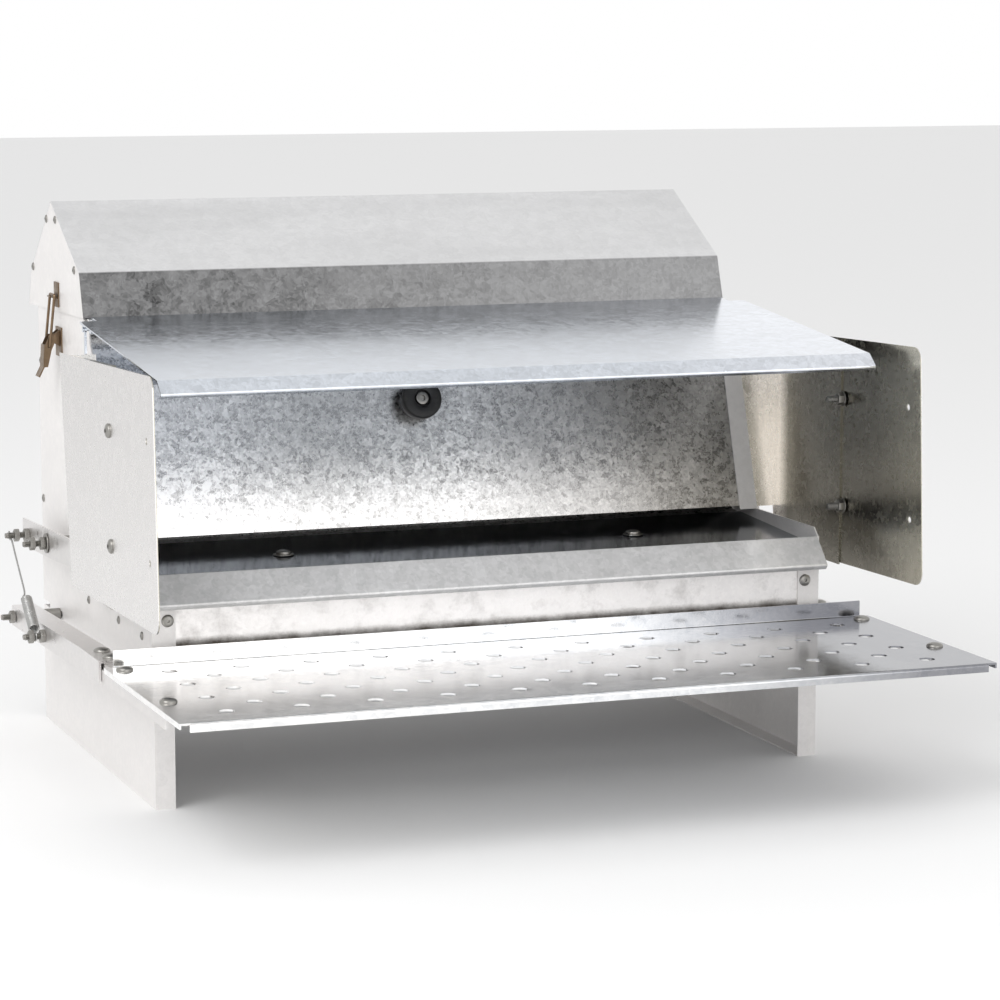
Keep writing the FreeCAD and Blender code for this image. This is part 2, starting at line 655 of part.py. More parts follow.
def lid_lug():
    y, z = lift_pin_place()
    ear = [(y - 7, lid_top(y - 7) - SHEET), (y + 3.5, lid_top(y + 3.5) - SHEET),
           (y + 3.5, z - 3.6), (y - 4, z - 3.6)]
    wall = plate(ear, HALF + 2.2, HALF + 3.4)
    foot_line = [(y - 8, lid_top(y - 8) - SHEET), (y + 3.5, lid_top(y + 3.5) - SHEET)]
    foot = plate(foot_line + offset_left(foot_line, -1.2)[::-1], HALF + 2.2, LID_HALF - 0.4)
    pin = cylinder_x(HALF + 3, LINK_X + 2.4, y, z, LINK_PIN_R)
    head = cylinder_x(LINK_X + 1.4, LINK_X + 2.4, y, z, 2.4)
    return joined(wall, foot, pin, head)


def lift_link():
    y1, z1 = lift_pin_place()
    y0, z0 = rocker_pin_place()
    length = math.hypot(y1 - y0, z1 - z0)
    half = LINK_SHEET / 2
    ends = [cylinder_x(LINK_X - half, LINK_X + half, y, z, 3.0) for y, z in ((y0, z0), (y1, z1))]
    across = ((z1 - z0) / length * 2.2, -(y1 - y0) / length * 2.2)
    outline = [(y0 + across[0], z0 + across[1]), (y1 + across[0], z1 + across[1]),
               (y1 - across[0], z1 - across[1]), (y0 - across[0], z0 - across[1])]
    solid = joined(plate(outline, LINK_X - half, LINK_X + half), *ends)
    solid = solid.cut(cylinder_x(LINK_X - 3, LINK_X + 3, y1, z1, LINK_PIN_R + RUN))
    return solid.cut(cylinder_x(LINK_X - 3, LINK_X + 3, y0, z0, LINK_PIN_R + LINK_PLAY)).Solids[0]


# ---- treadle -------------------------------------------------------------
def drain_holes():
    """Staggered rows, as many as the step has room for."""
    rows = int((STEP_DEPTH - DRAIN_FRONT - DRAIN_EDGE) / DRAIN_ROW) + 1
    longest = int(2 * (STEP_HALF - DRAIN_SIDE) / DRAIN_PITCH) + 1
    for row in range(rows):
        count = longest - row % 2
        for i in range(count):
            yield (i - (count - 1) / 2) * DRAIN_PITCH, DRAIN_FRONT + row * DRAIN_ROW


def step_bolt_places():
    x = STEP_HALF - STEP_BOLT_IN
    return [(x, STEP_DEPTH - STEP_BOLT_REAR), (x, STEP_BOLT_FRONT)]


def step_plate():
    t = STEP_SHEET
    profile = [(0, STEP_TOP - 7), (0, STEP_TOP), (STEP_DEPTH - t, STEP_TOP),
               (STEP_DEPTH - t, STEP_TOP + UPSTAND)]
    sheet = folded(offset_left(profile, -t), -STEP_HALF + 8, STEP_HALF - 8, t=t, bend=0.8)
    ends = [box(x0, x0 + 9, t, STEP_DEPTH - t, STEP_TOP - t, STEP_TOP)
            for x0 in (-STEP_HALF, STEP_HALF - 9)]
    lips = [box(x0, x0 + t, t, STEP_DEPTH - t, STEP_TOP - 4.5, STEP_TOP)
            for x0 in (-STEP_HALF, STEP_HALF - t)]
    plate_solid = joined(sheet, *(ends + lips))
    holes = [cylinder_z(STEP_TOP - 9, STEP_TOP + 5, x, y, DRAIN_R) for x, y in drain_holes()]
    bolts = [cylinder_z(STEP_TOP - 9, STEP_TOP + 5, side * x, y, BOLT_R)
             for x, y in step_bolt_places() for side in (-1, 1)]
    return plate_solid.cut(Part.makeCompound(holes + bolts)).Solids[0]


def step_bracket():
    """Angle under the plate's end; its tail laps inside the arm."""
    x1 = ARM_X - ARM_SHEET - 0.3
    x0 = ARM_X - ARM_FLANGE
    top = STEP_TOP - STEP_SHEET - 0.02
    web = box(x1 - ARM_SHEET, x1, 60, ARM_FRONT + 60, top - 15, top - 4.8)
    flange = box(x0, x1 - 1.6, 8, ARM_FRONT + 60, top - ARM_SHEET, top)
    skirt = box(x1 - ARM_SHEET, x1 - 1.6, 60, ARM_FRONT + 60, top - 6, top)
    solid = joined(web, flange, skirt)
    for x, y in step_bolt_places() + arm_bolt_places():
        solid = solid.cut(cylinder_z(top - 5, top + 5, x, y, BOLT_R))
    return solid.Solids[0]


def arm_top(y):
    """Upper face of an arm, which climbs towards the step."""
    return TREADLE_Z + 8.6 + (TREADLE_Y - y) * 0.0166


def arm_bolt_places():
    return [(ARM_X - 13.0, ARM_FRONT + back) for back in ARM_BOLTS]


def step_arm():
    rear = TREADLE_Y + ARM_REAR
    clear = STEP_TOP - STEP_SHEET + 0.02
    front_top = max(arm_top(ARM_FRONT), clear + ARM_SHEET)
    lap = ARM_FRONT + ARM_LAP
    top = [(ARM_FRONT, clear + ARM_SHEET), (lap, clear + ARM_SHEET), (rear, arm_top(rear))]
    low = [(rear, arm_top(rear) - ARM_HEIGHT + 1), (ARM_FRONT + 4, front_top - ARM_HEIGHT),
           (ARM_FRONT, front_top - ARM_HEIGHT)]
    web = plate(top + low, ARM_X - ARM_SHEET, ARM_X)
    flange = plate(top + offset_left(top, -ARM_SHEET)[::-1], ARM_X - ARM_FLANGE, ARM_X)
    solid = joined(web, flange)
    for x, y in arm_bolt_places():
        solid = solid.cut(cylinder_z(STEP_TOP - 20, STEP_TOP + 20, x, y, BOLT_R))
    for y, z, radius in ((TREADLE_Y, TREADLE_Z, BOLT_R + RUN), (SPRING_Y, SPRING_Z, BOLT_R)):
        solid = solid.cut(cylinder_x(ARM_X - 5, ARM_X + 5, y, z, radius))
    return solid.Solids[0]


def plate_bolt(x, y, top, length):
    shank = cylinder_z(top - length, top, x, y, BOLT_R)
    head = dome((x, y, top), (0, 0, 1), 7.0, 3.4)
    nut = hexagon_z(top - length + 2.5, top - length + 2.5 + NUT_HEIGHT, x, y, NUT_ACROSS)
    return joined(shank, head, nut)


def step_bolts():
    shapes = [plate_bolt(x, y, STEP_TOP, 13.0) for x, y in step_bolt_places()]
    return both(group(*shapes))


def arm_bolts():
    top = STEP_TOP - STEP_SHEET + 0.02 + ARM_SHEET
    shapes = [plate_bolt(x, y, top, 22.0) for x, y in arm_bolt_places()]
    return both(group(*shapes))


def spring_bolts():
    """Bolt out of an arm's web, with a nut either side of the spring's loop."""
    x = ARM_X
    shank = cylinder_x(x - 8, x + 19.5, SPRING_Y, SPRING_Z, BOLT_R)
    nuts = [hexagon_x(x0, x0 + NUT_HEIGHT, SPRING_Y, SPRING_Z, NUT_ACROSS) for x0 in (x - 7, x, x + 10)]
    return both(joined(shank, *nuts))


def treadle_pivots():
    """Fixed bolt that carries an arm on the body side, with its spacer."""
    x = ARM_X
    shank = cylinder_x(INNER - 7, x + 13, TREADLE_Y, TREADLE_Z, BOLT_R)
    spacer = cylinder_x(HALF, x - ARM_SHEET - GAP, TREADLE_Y, TREADLE_Z, 5.5)
    nuts = [hexagon_x(INNER - SHEET - NUT_HEIGHT, INNER - SHEET, TREADLE_Y, TREADLE_Z, NUT_ACROSS),
            hexagon_x(x + GAP, x + GAP + 6, TREADLE_Y, TREADLE_Z, NUT_ACROSS)]
    return both(joined(shank, spacer, *nuts))


def pivot_holes(shape):
    for y, z in ((TREADLE_Y, TREADLE_Z), (ROCKER_Y, ROCKER_Z)):
        for x0 in (INNER - 4, -HALF - 2):
            shape = shape.cut(cylinder_x(x0, x0 + 6, y, z, BOLT_R))
    return shape


# ---- rockers and springs ---------------------------------------------------
def rocker_pin_place():
    return ROCKER_Y - ROCKER_LEVER, ROCKER_Z + 7.0


def rocker_plate():
    x1 = ROCKER_X
    x0 = x1 - ROCKER_SHEET
    front = ROCKER_Y - ROCKER_FRONT
    rear = TAIL_Y + 25
    outline = [(front, ROCKER_Z - 6), (ROCKER_Y - 40, ROCKER_Z - 11), (rear, ROCKER_Z - 16),
               (rear, ROCKER_Z + 9), (front, ROCKER_Z + 17)]
    solid = plate(outline, x0, x1)
    solid = solid.cut(cylinder_x(x0 - 1, x1 + 1, ROCKER_Y, ROCKER_Z, BOLT_R + RUN))
    return solid.cut(cylinder_x(x0 - 1, x1 + 1, TAIL_Y, TAIL_Z, BOLT_R)).Solids[0]


def rocker_pin():
    """Pin from the rocker's front end to the foot of the lift link."""
    y, z = rocker_pin_place()
    x0 = ROCKER_X - ROCKER_SHEET
    pin = cylinder_x(LINK_X - 2.4, x0, y, z, LINK_PIN_R)
    collar = cylinder_x(LINK_X + LINK_SHEET / 2 + GAP, x0, y, z, 3.2)
    end = cylinder_x(LINK_X - 2.4, LINK_X - 1.2, y, z, 2.6)
    return joined(pin, collar, end)


def tail_bolt():
    x = ROCKER_X
    shank = cylinder_x(x - 8, x + 22, TAIL_Y, TAIL_Z, BOLT_R)
    nuts = [hexagon_x(x0, x0 + NUT_HEIGHT, TAIL_Y, TAIL_Z, NUT_ACROSS) for x0 in (x - 7, x, x + 9)]
    return joined(shank, *nuts)


def rocker_pivots():
    x = ROCKER_X
    shank = cylinder_x(INNER - 7, x + 22, ROCKER_Y, ROCKER_Z, BOLT_R)
    spacer = cylinder_x(HALF, x - ROCKER_SHEET - GAP, ROCKER_Y, ROCKER_Z, 6.0)
    inner_nut = hexagon_x(INNER - NUT_HEIGHT, INNER, ROCKER_Y, ROCKER_Z, NUT_ACROSS)
    washer = cylinder_x(x + GAP, x + GAP + 1.4, ROCKER_Y, ROCKER_Z, 9.0)
    nuts = [hexagon_x(x0, x0 + 5.2, ROCKER_Y, ROCKER_Z, NUT_ACROSS) for x0 in (x + 1.8, x + 11)]
    return both(joined(shank, spacer, inner_nut, washer, *nuts))


def lift_spring():
    """Envelope of a coil spring, with the hooks to its two bolts."""
    reach = BOLT_R + 1.3
    low = Vector(ARM_X + 8, SPRING_Y, SPRING_Z + reach)
    high = Vector(ROCKER_X + 17, TAIL_Y, TAIL_Z - reach)
    run = high - low
    length = run.Length
    axis = run.normalize()
    foot = Part.makeCylinder(1.0, 8, low, axis)
    coil = Part.makeCylinder(COIL_R, COIL_LENGTH, low + axis * 7, axis)
    hook_start = COIL_LENGTH + 6
    hook = Part.makeCylinder(0.8, length - hook_start, low + axis * hook_start, axis)
    return joined(foot, coil, hook)


# ---- writing the parts -----------------------------------------------------
def export(name, shape):
    moved = shape.copy()
    moved.translate(Vector(0, -OVERALL_DEPTH / 2, 0))
    if not moved.isValid():
        raise ValueError("%s is not a valid solid" % name)
    moved.exportStep("parts/%s.step" % name)
    print("%-26s %2d solid(s) %12.1f mm3" % (name, len(moved.Solids), moved.Volume))


def export_pair(name, shape):
    """The shape is the right-hand piece; its mirror is the left-hand one."""
    export(name + "_right", shape)
    export(name + "_left", mirrored(shape))


def main():
    os.makedirs("parts", exist_ok=True)
    export_pair("body_side", pivot_holes(rivet_holes(body_side())).Solids[0])
    export("hopper_front_panel", bumper_hole(hopper_front_panel()).Solids[0])
    export("hopper_back_panel", rivet_holes(hopper_back_panel()).Solids[0])
    export("hopper_floor", hopper_floor())
    export("trough_pan", trough_bolt_holes(trough_pan()).Solids[0])
    export("trough_apron", rivet_holes(trough_apron()).Solids[0])
    export_pair("stand", pivot_holes(rivet_holes(stand())).Solids[0])
    export_pair("guard_plate", guard_plate())
    export_pair("guard_wing", guard_wing())
    export("guard_screws", guard_screws())
    export("guard_nuts", guard_nuts())
    export("body_rivets", body_rivets())
    export("trough_bolts", trough_bolts())
    export("lid_bumper", lid_bumper())
    export("bumper_screw", bumper_screw())
    export("lid_hinge_rod", lid_hinge_rod())
    export("treadle_pivots", treadle_pivots())
    export("rocker_pivots", rocker_pivots())
    export_pair("latch_base", latch_base())
    export("roof_cap", roof_cap())
    export_pair("roof_gable", roof_gable())
    export_pair("gable_rivets", gable_rivets())
    export_pair("latch_keeper", latch_keeper())
    export_pair("latch_lever", latch_lever())
    export_pair("latch_bail", latch_bail())
    export("lid_panel", lid_panel())
    export_pair("lid_lug", lid_lug())
    export_pair("lift_link", lift_link())
    export("step_plate", step_plate())
    export_pair("step_bracket", step_bracket())
    export_pair("step_arm", step_arm())
    export("step_bolts", step_bolts())
    export("arm_bolts", arm_bolts())
    export("spring_bolts", spring_bolts())
    export_pair("rocker_plate", rocker_plate())
    export_pair("rocker_pin", rocker_pin())
    export_pair("tail_bolt", tail_bolt())
    export_pair("lift_spring", lift_spring())


main()
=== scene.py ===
"""Poultry feeder: finishes for the folded sheet parts, and the detailed springs, bolts, rivets and buffer."""

import math

import bpy
from mathutils import Matrix, Vector


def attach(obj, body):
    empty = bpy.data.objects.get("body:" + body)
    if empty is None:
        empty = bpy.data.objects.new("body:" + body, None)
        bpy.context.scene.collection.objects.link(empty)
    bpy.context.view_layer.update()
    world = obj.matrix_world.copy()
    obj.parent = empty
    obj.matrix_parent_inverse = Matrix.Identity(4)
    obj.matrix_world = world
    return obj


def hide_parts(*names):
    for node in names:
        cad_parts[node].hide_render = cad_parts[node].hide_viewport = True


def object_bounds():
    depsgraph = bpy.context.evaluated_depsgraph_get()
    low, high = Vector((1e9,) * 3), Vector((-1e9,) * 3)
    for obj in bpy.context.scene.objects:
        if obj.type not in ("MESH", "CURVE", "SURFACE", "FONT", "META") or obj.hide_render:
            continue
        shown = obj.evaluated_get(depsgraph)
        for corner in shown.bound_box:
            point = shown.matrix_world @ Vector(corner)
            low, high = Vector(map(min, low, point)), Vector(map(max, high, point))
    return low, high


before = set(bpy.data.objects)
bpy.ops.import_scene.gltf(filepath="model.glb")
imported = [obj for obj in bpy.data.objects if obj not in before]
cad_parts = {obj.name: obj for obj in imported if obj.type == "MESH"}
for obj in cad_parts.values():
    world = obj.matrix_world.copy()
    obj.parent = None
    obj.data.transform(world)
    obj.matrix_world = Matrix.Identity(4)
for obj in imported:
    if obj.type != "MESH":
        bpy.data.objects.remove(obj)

bl_info = {
    "name": "Poultry Feeder Finisher",
    "version": (1, 0, 0),
    "blender": (4, 5, 0),
    "location": "View3D > Sidebar > Feeder",
    "description": "Finishes a galvanised treadle feeder and models its springs, fixings and buffer",
    "category": "Object",
}

LOW, HIGH = [Vector(corner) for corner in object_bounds()]
MM = 0.001

# Places in millimetres, as (y, z): y runs back from the step's front edge, and z up from the ground.
SPRING_BOLT = (455.6, 111.6)
TAIL_BOLT = (598.5, 179.0)
TREADLE_PIVOT = (575.6, 108.4)
ROCKER_PIVOT = (525.0, 182.0)
GUARD_SCREWS = ((255.2, 219.5), (258.2, 313.5))
BODY_RIVETS = ((277.0, 140.0), (355.2, 140.0), (461.2, 140.0), (632.0, 207.0), (632.0, 334.0))
GABLE_RIVETS = ((592.5, 465.0), (558.5, 466.0), (649.5, 418.4), (489.0, 426.0))

PAN_Z = 187.0            # trough floor at the front
PAN_RISE = 6.0           # the floor rises this much to the hopper
TROUGH_DEPTH = 128.8     # from the body's face to the foot of the hopper front
TROUGH_BOLT_X = 161.0    # trough bolts either side of the middle
TROUGH_BOLT_Y = 334.2
TROUGH_BOLT_BACK = 89.0  # trough bolts behind the body's face
TROUGH_CREST = 247.0     # the ridge between the trough and its front lip
ROOF_SHOULDER = 425.0    # height at which the roof's slope turns down into its fascia
ROOF_FRONT = 480.0       # the fascia lies ahead of this
FINISH_EDGE = 0.0006     # half the width over which one finish gives way to another, in metres
GUARD_INSET = 0.0311     # the middle of a guard's sheet, in from the widest point, in metres
FILL_SHARE = 0.26        # the fill light's share of the key light


def at(x, y, z):
    """A place in metres, from millimetres with y measured back from the step's front edge."""
    return Vector((x * MM, y * MM + LOW.y, z * MM))


# ---- settings ---------------------------------------------------------------
class FEEDER_PG_finishes(bpy.types.PropertyGroup):
    """Colours of the metals and the rubber"""

    wall: bpy.props.FloatVectorProperty(
        name="Wall sheet", description="Zinc-coated sheet of the walls and stands", subtype="COLOR", size=3,
        min=0, max=1, default=(0.80, 0.78, 0.768))
    roof: bpy.props.FloatVectorProperty(
        name="Roof sheet", description="Zinc-coated sheet of the roof", subtype="COLOR", size=3,
        min=0, max=1, default=(0.80, 0.80, 0.805))
    hopper: bpy.props.FloatVectorProperty(
        name="Hopper sheet", description="Strongly spangled sheet of the hopper front", subtype="COLOR",
        size=3, min=0, max=1, default=(0.60, 0.60, 0.60))
    lid: bpy.props.FloatVectorProperty(
        name="Lid sheet", description="Bluish sheet of the lid", subtype="COLOR", size=3,
        min=0, max=1, default=(0.76, 0.80, 0.86))
    trough: bpy.props.FloatVectorProperty(
        name="Trough sheet", description="Dark polished sheet of the trough floor", subtype="COLOR", size=3,
        min=0, max=1, default=(0.15, 0.163, 0.182))
    guard: bpy.props.FloatVectorProperty(
        name="Guard sheet", description="Brushed, slightly yellow sheet of the side guards", subtype="COLOR",
        size=3, min=0, max=1, default=(0.31, 0.295, 0.25))
    step: bpy.props.FloatVectorProperty(
        name="Step plate", description="Bright thick plate of the step", subtype="COLOR", size=3,
        min=0, max=1, default=(0.88, 0.90, 0.93))
    zinc: bpy.props.FloatVectorProperty(
        name="Zinc plating", description="Bolts, nuts and rivets", subtype="COLOR", size=3,
        min=0, max=1, default=(0.34, 0.33, 0.31))
    latch: bpy.props.FloatVectorProperty(
        name="Latch steel", description="Yellow-brown passivated latches", subtype="COLOR", size=3,
        min=0, max=1, default=(0.24, 0.17, 0.11))
    wire: bpy.props.FloatVectorProperty(
        name="Spring wire", description="Bright drawn wire", subtype="COLOR", size=3,
        min=0, max=1, default=(0.45, 0.45, 0.44))
    rubber: bpy.props.FloatVectorProperty(
        name="Rubber", description="Black rubber of the buffer", subtype="COLOR", size=3,
        min=0, max=1, default=(0.012, 0.012, 0.013))
    spangle: bpy.props.FloatProperty(
        name="Spangle", description="Width of one zinc crystal", subtype="DISTANCE", unit="LENGTH",
        default=0.008, min=0.001, max=0.05)


class FEEDER_PG_fittings(bpy.types.PropertyGroup):
    """Sizes of the small parts"""

    bolt_radius: bpy.props.FloatProperty(
        name="Bolt radius", description="Radius over the thread", unit="LENGTH", subtype="DISTANCE",
        default=0.003, min=0.001, max=0.01)
    thread_pitch: bpy.props.FloatProperty(
        name="Thread pitch", description="Distance from thread to thread", unit="LENGTH", subtype="DISTANCE",
        default=0.001, min=0.0004, max=0.003)
    nut_across: bpy.props.FloatProperty(
        name="Nut size", description="Width of a nut across its flats", unit="LENGTH", subtype="DISTANCE",
        default=0.010, min=0.004, max=0.03)
    nut_height: bpy.props.FloatProperty(
        name="Nut height", description="Thickness of a nut", unit="LENGTH", subtype="DISTANCE",
        default=0.005, min=0.002, max=0.02)
    coil_radius: bpy.props.FloatProperty(
        name="Coil radius", description="Outside radius of a spring's coil", unit="LENGTH",
        subtype="DISTANCE", default=0.005, min=0.002, max=0.02)
    wire_radius: bpy.props.FloatProperty(
        name="Wire radius", description="Radius of the spring wire", unit="LENGTH", subtype="DISTANCE",
        default=0.0008, min=0.0002, max=0.003)
    coil_turns: bpy.props.IntProperty(
        name="Coil turns", description="Turns in a spring's close-wound coil", default=26, min=4, max=60)


class FEEDER_PG_studio(bpy.types.PropertyGroup):
    """Floor, light and camera"""

    floor: bpy.props.FloatVectorProperty(
        name="Floor", description="Colour of the plain floor", subtype="COLOR", size=3,
        min=0, max=1, default=(0.86, 0.86, 0.86))
    sky: bpy.props.FloatProperty(
        name="Room light", description="Strength of the even white light all round",
        default=1.0, min=0, max=20)
    key: bpy.props.FloatProperty(
        name="Key light", description="Power of the large soft light", subtype="POWER", default=60.0, min=0)
    lens: bpy.props.FloatProperty(
        name="Lens", description="Focal length for a 36 mm wide sensor", subtype="DISTANCE_CAMERA",
        default=121.2, min=10, max=300)


# ---- modelling helpers --------------------------------------------------------
def deselect():
    bpy.ops.object.select_all(action="DESELECT")


def only(piece):
    deselect()
    piece.select_set(True)
    bpy.context.view_layer.objects.active = piece


def edit(piece):
    only(piece)
    bpy.ops.object.mode_set(mode="EDIT")


def done():
    bpy.ops.object.mode_set(mode="OBJECT")


def set_down(piece, place, along=Vector((0, 0, 1))):
    """Turns a piece made upright at the origin to point along a direction, and fixes it in its place."""
    turn = Vector(along).to_track_quat("Z", "Y").to_matrix().to_4x4()
    piece.matrix_world = Matrix.Translation(place) @ turn
    only(piece)
    bpy.ops.object.transform_apply(location=True, rotation=True, scale=True)
    return piece


def copied(piece):
    only(piece)
    bpy.ops.object.duplicate(linked=False)
    return bpy.context.active_object


def discard(piece):
    only(piece)
    bpy.ops.object.delete()


def one_piece(name, shapes, sharp=35):
    """Joins shapes into one named piece with smooth curved faces and sharp corners."""
    deselect()
    for shape in shapes:
        shape.select_set(True)
    bpy.context.view_layer.objects.active = shapes[0]
    if len(shapes) > 1:
        bpy.ops.object.join()
    piece = bpy.context.active_object
    piece.name = name
    piece.data.name = name
    only(piece)
    bpy.ops.object.shade_smooth_by_angle(angle=math.radians(sharp))
    return piece


def turned(outline, steps=20):
    """A lathe part: its half outline, as radius and height, is drawn point by point and spun round."""
    deselect()
    bpy.ops.mesh.primitive_plane_add(size=MM, location=(0, 0, 0))
    piece = bpy.context.active_object
    edit(piece)
    bpy.ops.mesh.select_all(action="SELECT")
    bpy.ops.mesh.merge(type="CENTER")
    radius, height = outline[0]
    bpy.ops.transform.translate(value=(radius, 0, height))
    for (r0, h0), (r1, h1) in zip(outline, outline[1:]):
        bpy.ops.mesh.extrude_region_move(TRANSFORM_OT_translate={"value": (r1 - r0, 0, h1 - h0)})
    bpy.ops.mesh.select_all(action="SELECT")
    bpy.ops.mesh.spin(steps=steps, angle=2 * math.pi, center=(0, 0, 0), axis=(0, 0, 1))
    bpy.ops.mesh.select_all(action="SELECT")
    bpy.ops.mesh.remove_doubles(threshold=0.000001)
    bpy.ops.mesh.normals_make_consistent(inside=False)
    done()
    return piece


def threaded(length, settings):
    """A threaded shank from the origin upwards, narrowed at its far end."""
    radius = settings.bolt_radius
    pitch = settings.thread_pitch
    root = radius - 0.6 * pitch
    outline = [(0, 0), (root, 0)]
    turns = max(1, int(length / pitch) - 1)
    for i in range(turns):
        outline += [(radius, (i + 0.5) * pitch), (root, (i + 1.0) * pitch)]
    outline += [(root, length - 0.3 * pitch), (root * 0.85, length), (0, length)]
    return turned(outline, steps=16)


def hex_nut(settings):
    """A nut standing on the origin: a six-sided blank, its ends inset and dished, its rims bevelled."""
    across = settings.nut_across
    height = settings.nut_height
    deselect()
    bpy.ops.mesh.primitive_cylinder_add(
        vertices=6, radius=across / math.sqrt(3), depth=height, location=(0, 0, height / 2))
    piece = bpy.context.active_object
    bpy.ops.object.transform_apply(location=True, rotation=True, scale=True)
    edit(piece)
    bpy.ops.mesh.select_mode(type="FACE")
    bpy.ops.mesh.select_all(action="DESELECT")
    done()
    for face in piece.data.polygons:
        face.select = abs(face.normal.z) > 0.9
    edit(piece)
    bpy.ops.mesh.bevel(offset=0.06 * across, segments=2, affect="EDGES")
    done()
    top = max(v.co.z for v in piece.data.vertices)
    for face in piece.data.polygons:
        face.select = abs(face.normal.z) > 0.99 and abs(abs(face.center.z - height / 2) - height / 2) < 0.0001
    edit(piece)
    bpy.ops.mesh.inset(thickness=across * 0.12, depth=0)
    bpy.ops.mesh.inset(thickness=across * 0.03, depth=-top * 0.06)
    bpy.ops.mesh.select_mode(type="VERT")
    done()
    return piece


def dome_head(radius, height, pit=0.0):
    """A round head standing on the origin, with a flat rim and an optional pit in its crown."""
    rim = height * 0.22
    outline = [(0, 0), (radius, 0), (radius, rim)]
    for i in range(1, 6):
        angle = i * math.pi / 12
        outline.append((radius * math.cos(angle), rim + (height - rim) * math.sin(angle)))
    if pit:
        outline += [(pit * 1.25, height), (pit, height * 0.9), (pit * 0.9, height * 0.4), (0, height * 0.4)]
    else:
        outline += [(radius * 0.1, height), (0, height)]
    return turned(outline, steps=24)


def bolt_with_nuts(settings, start, along, length, nuts, head=None, washer=None):
    """A threaded bolt from start, its nuts at distances along it, and a head or a washer if it has them."""
    along = Vector(along).normalized()
    shapes = [set_down(threaded(length, settings), start, along)]
    nut = hex_nut(settings)
    for distance in nuts:
        shapes.append(set_down(copied(nut), start + along * distance, along))
    discard(nut)
    if head:
        radius, height, distance = head
        shapes.append(set_down(dome_head(radius, height), start + along * distance, along))
    if washer:
        radius, thick, distance = washer
        hole = settings.bolt_radius
        ring = turned([(hole, 0), (radius * 0.96, 0), (radius, thick * 0.3), (radius, thick * 0.7),
                       (radius * 0.96, thick), (hole, thick), (hole, 0)], steps=28)
        shapes.append(set_down(ring, start + along * distance, along))
    return shapes


def wire_run(points, radius, name):
    """A bent wire along smooth points, as a solid mesh."""
    curve = bpy.data.curves.new(name, "CURVE")
    curve.dimensions = "3D"
    curve.bevel_depth = radius
    curve.bevel_resolution = 2
    curve.resolution_u = 6
    curve.use_fill_caps = True
    spline = curve.splines.new("NURBS")
    spline.points.add(len(points) - 1)
    for knot, place in zip(spline.points, points):
        knot.co = (place[0], place[1], place[2], 1)
    spline.order_u = 3
    spline.use_endpoint_u = True
    wire = bpy.data.objects.new(name, curve)
    bpy.context.scene.collection.objects.link(wire)
    only(wire)
    bpy.ops.object.convert(target="MESH")
    return bpy.context.active_object


def eye_points(centre, upright, aside, radius, first, count, drift):
    """Points round an eye, twelve to the turn, drifting sideways so that its wire passes itself."""
    points = []
    for i in range(count):
        angle = first + i * math.pi / 6
        points.append(centre + upright * radius * math.cos(angle) + aside * radius * math.sin(angle)
                      + Vector((drift * i / (count - 1), 0, 0)))
    return points


def fit(piece, body, slot, material, *nodes):
    """Gives a finished piece its material and sets it on its body in place of the plain nodes."""
    piece.data.materials.clear()
    piece.data.materials.append(material)
    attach(piece, body)
    if nodes:
        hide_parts(*nodes)


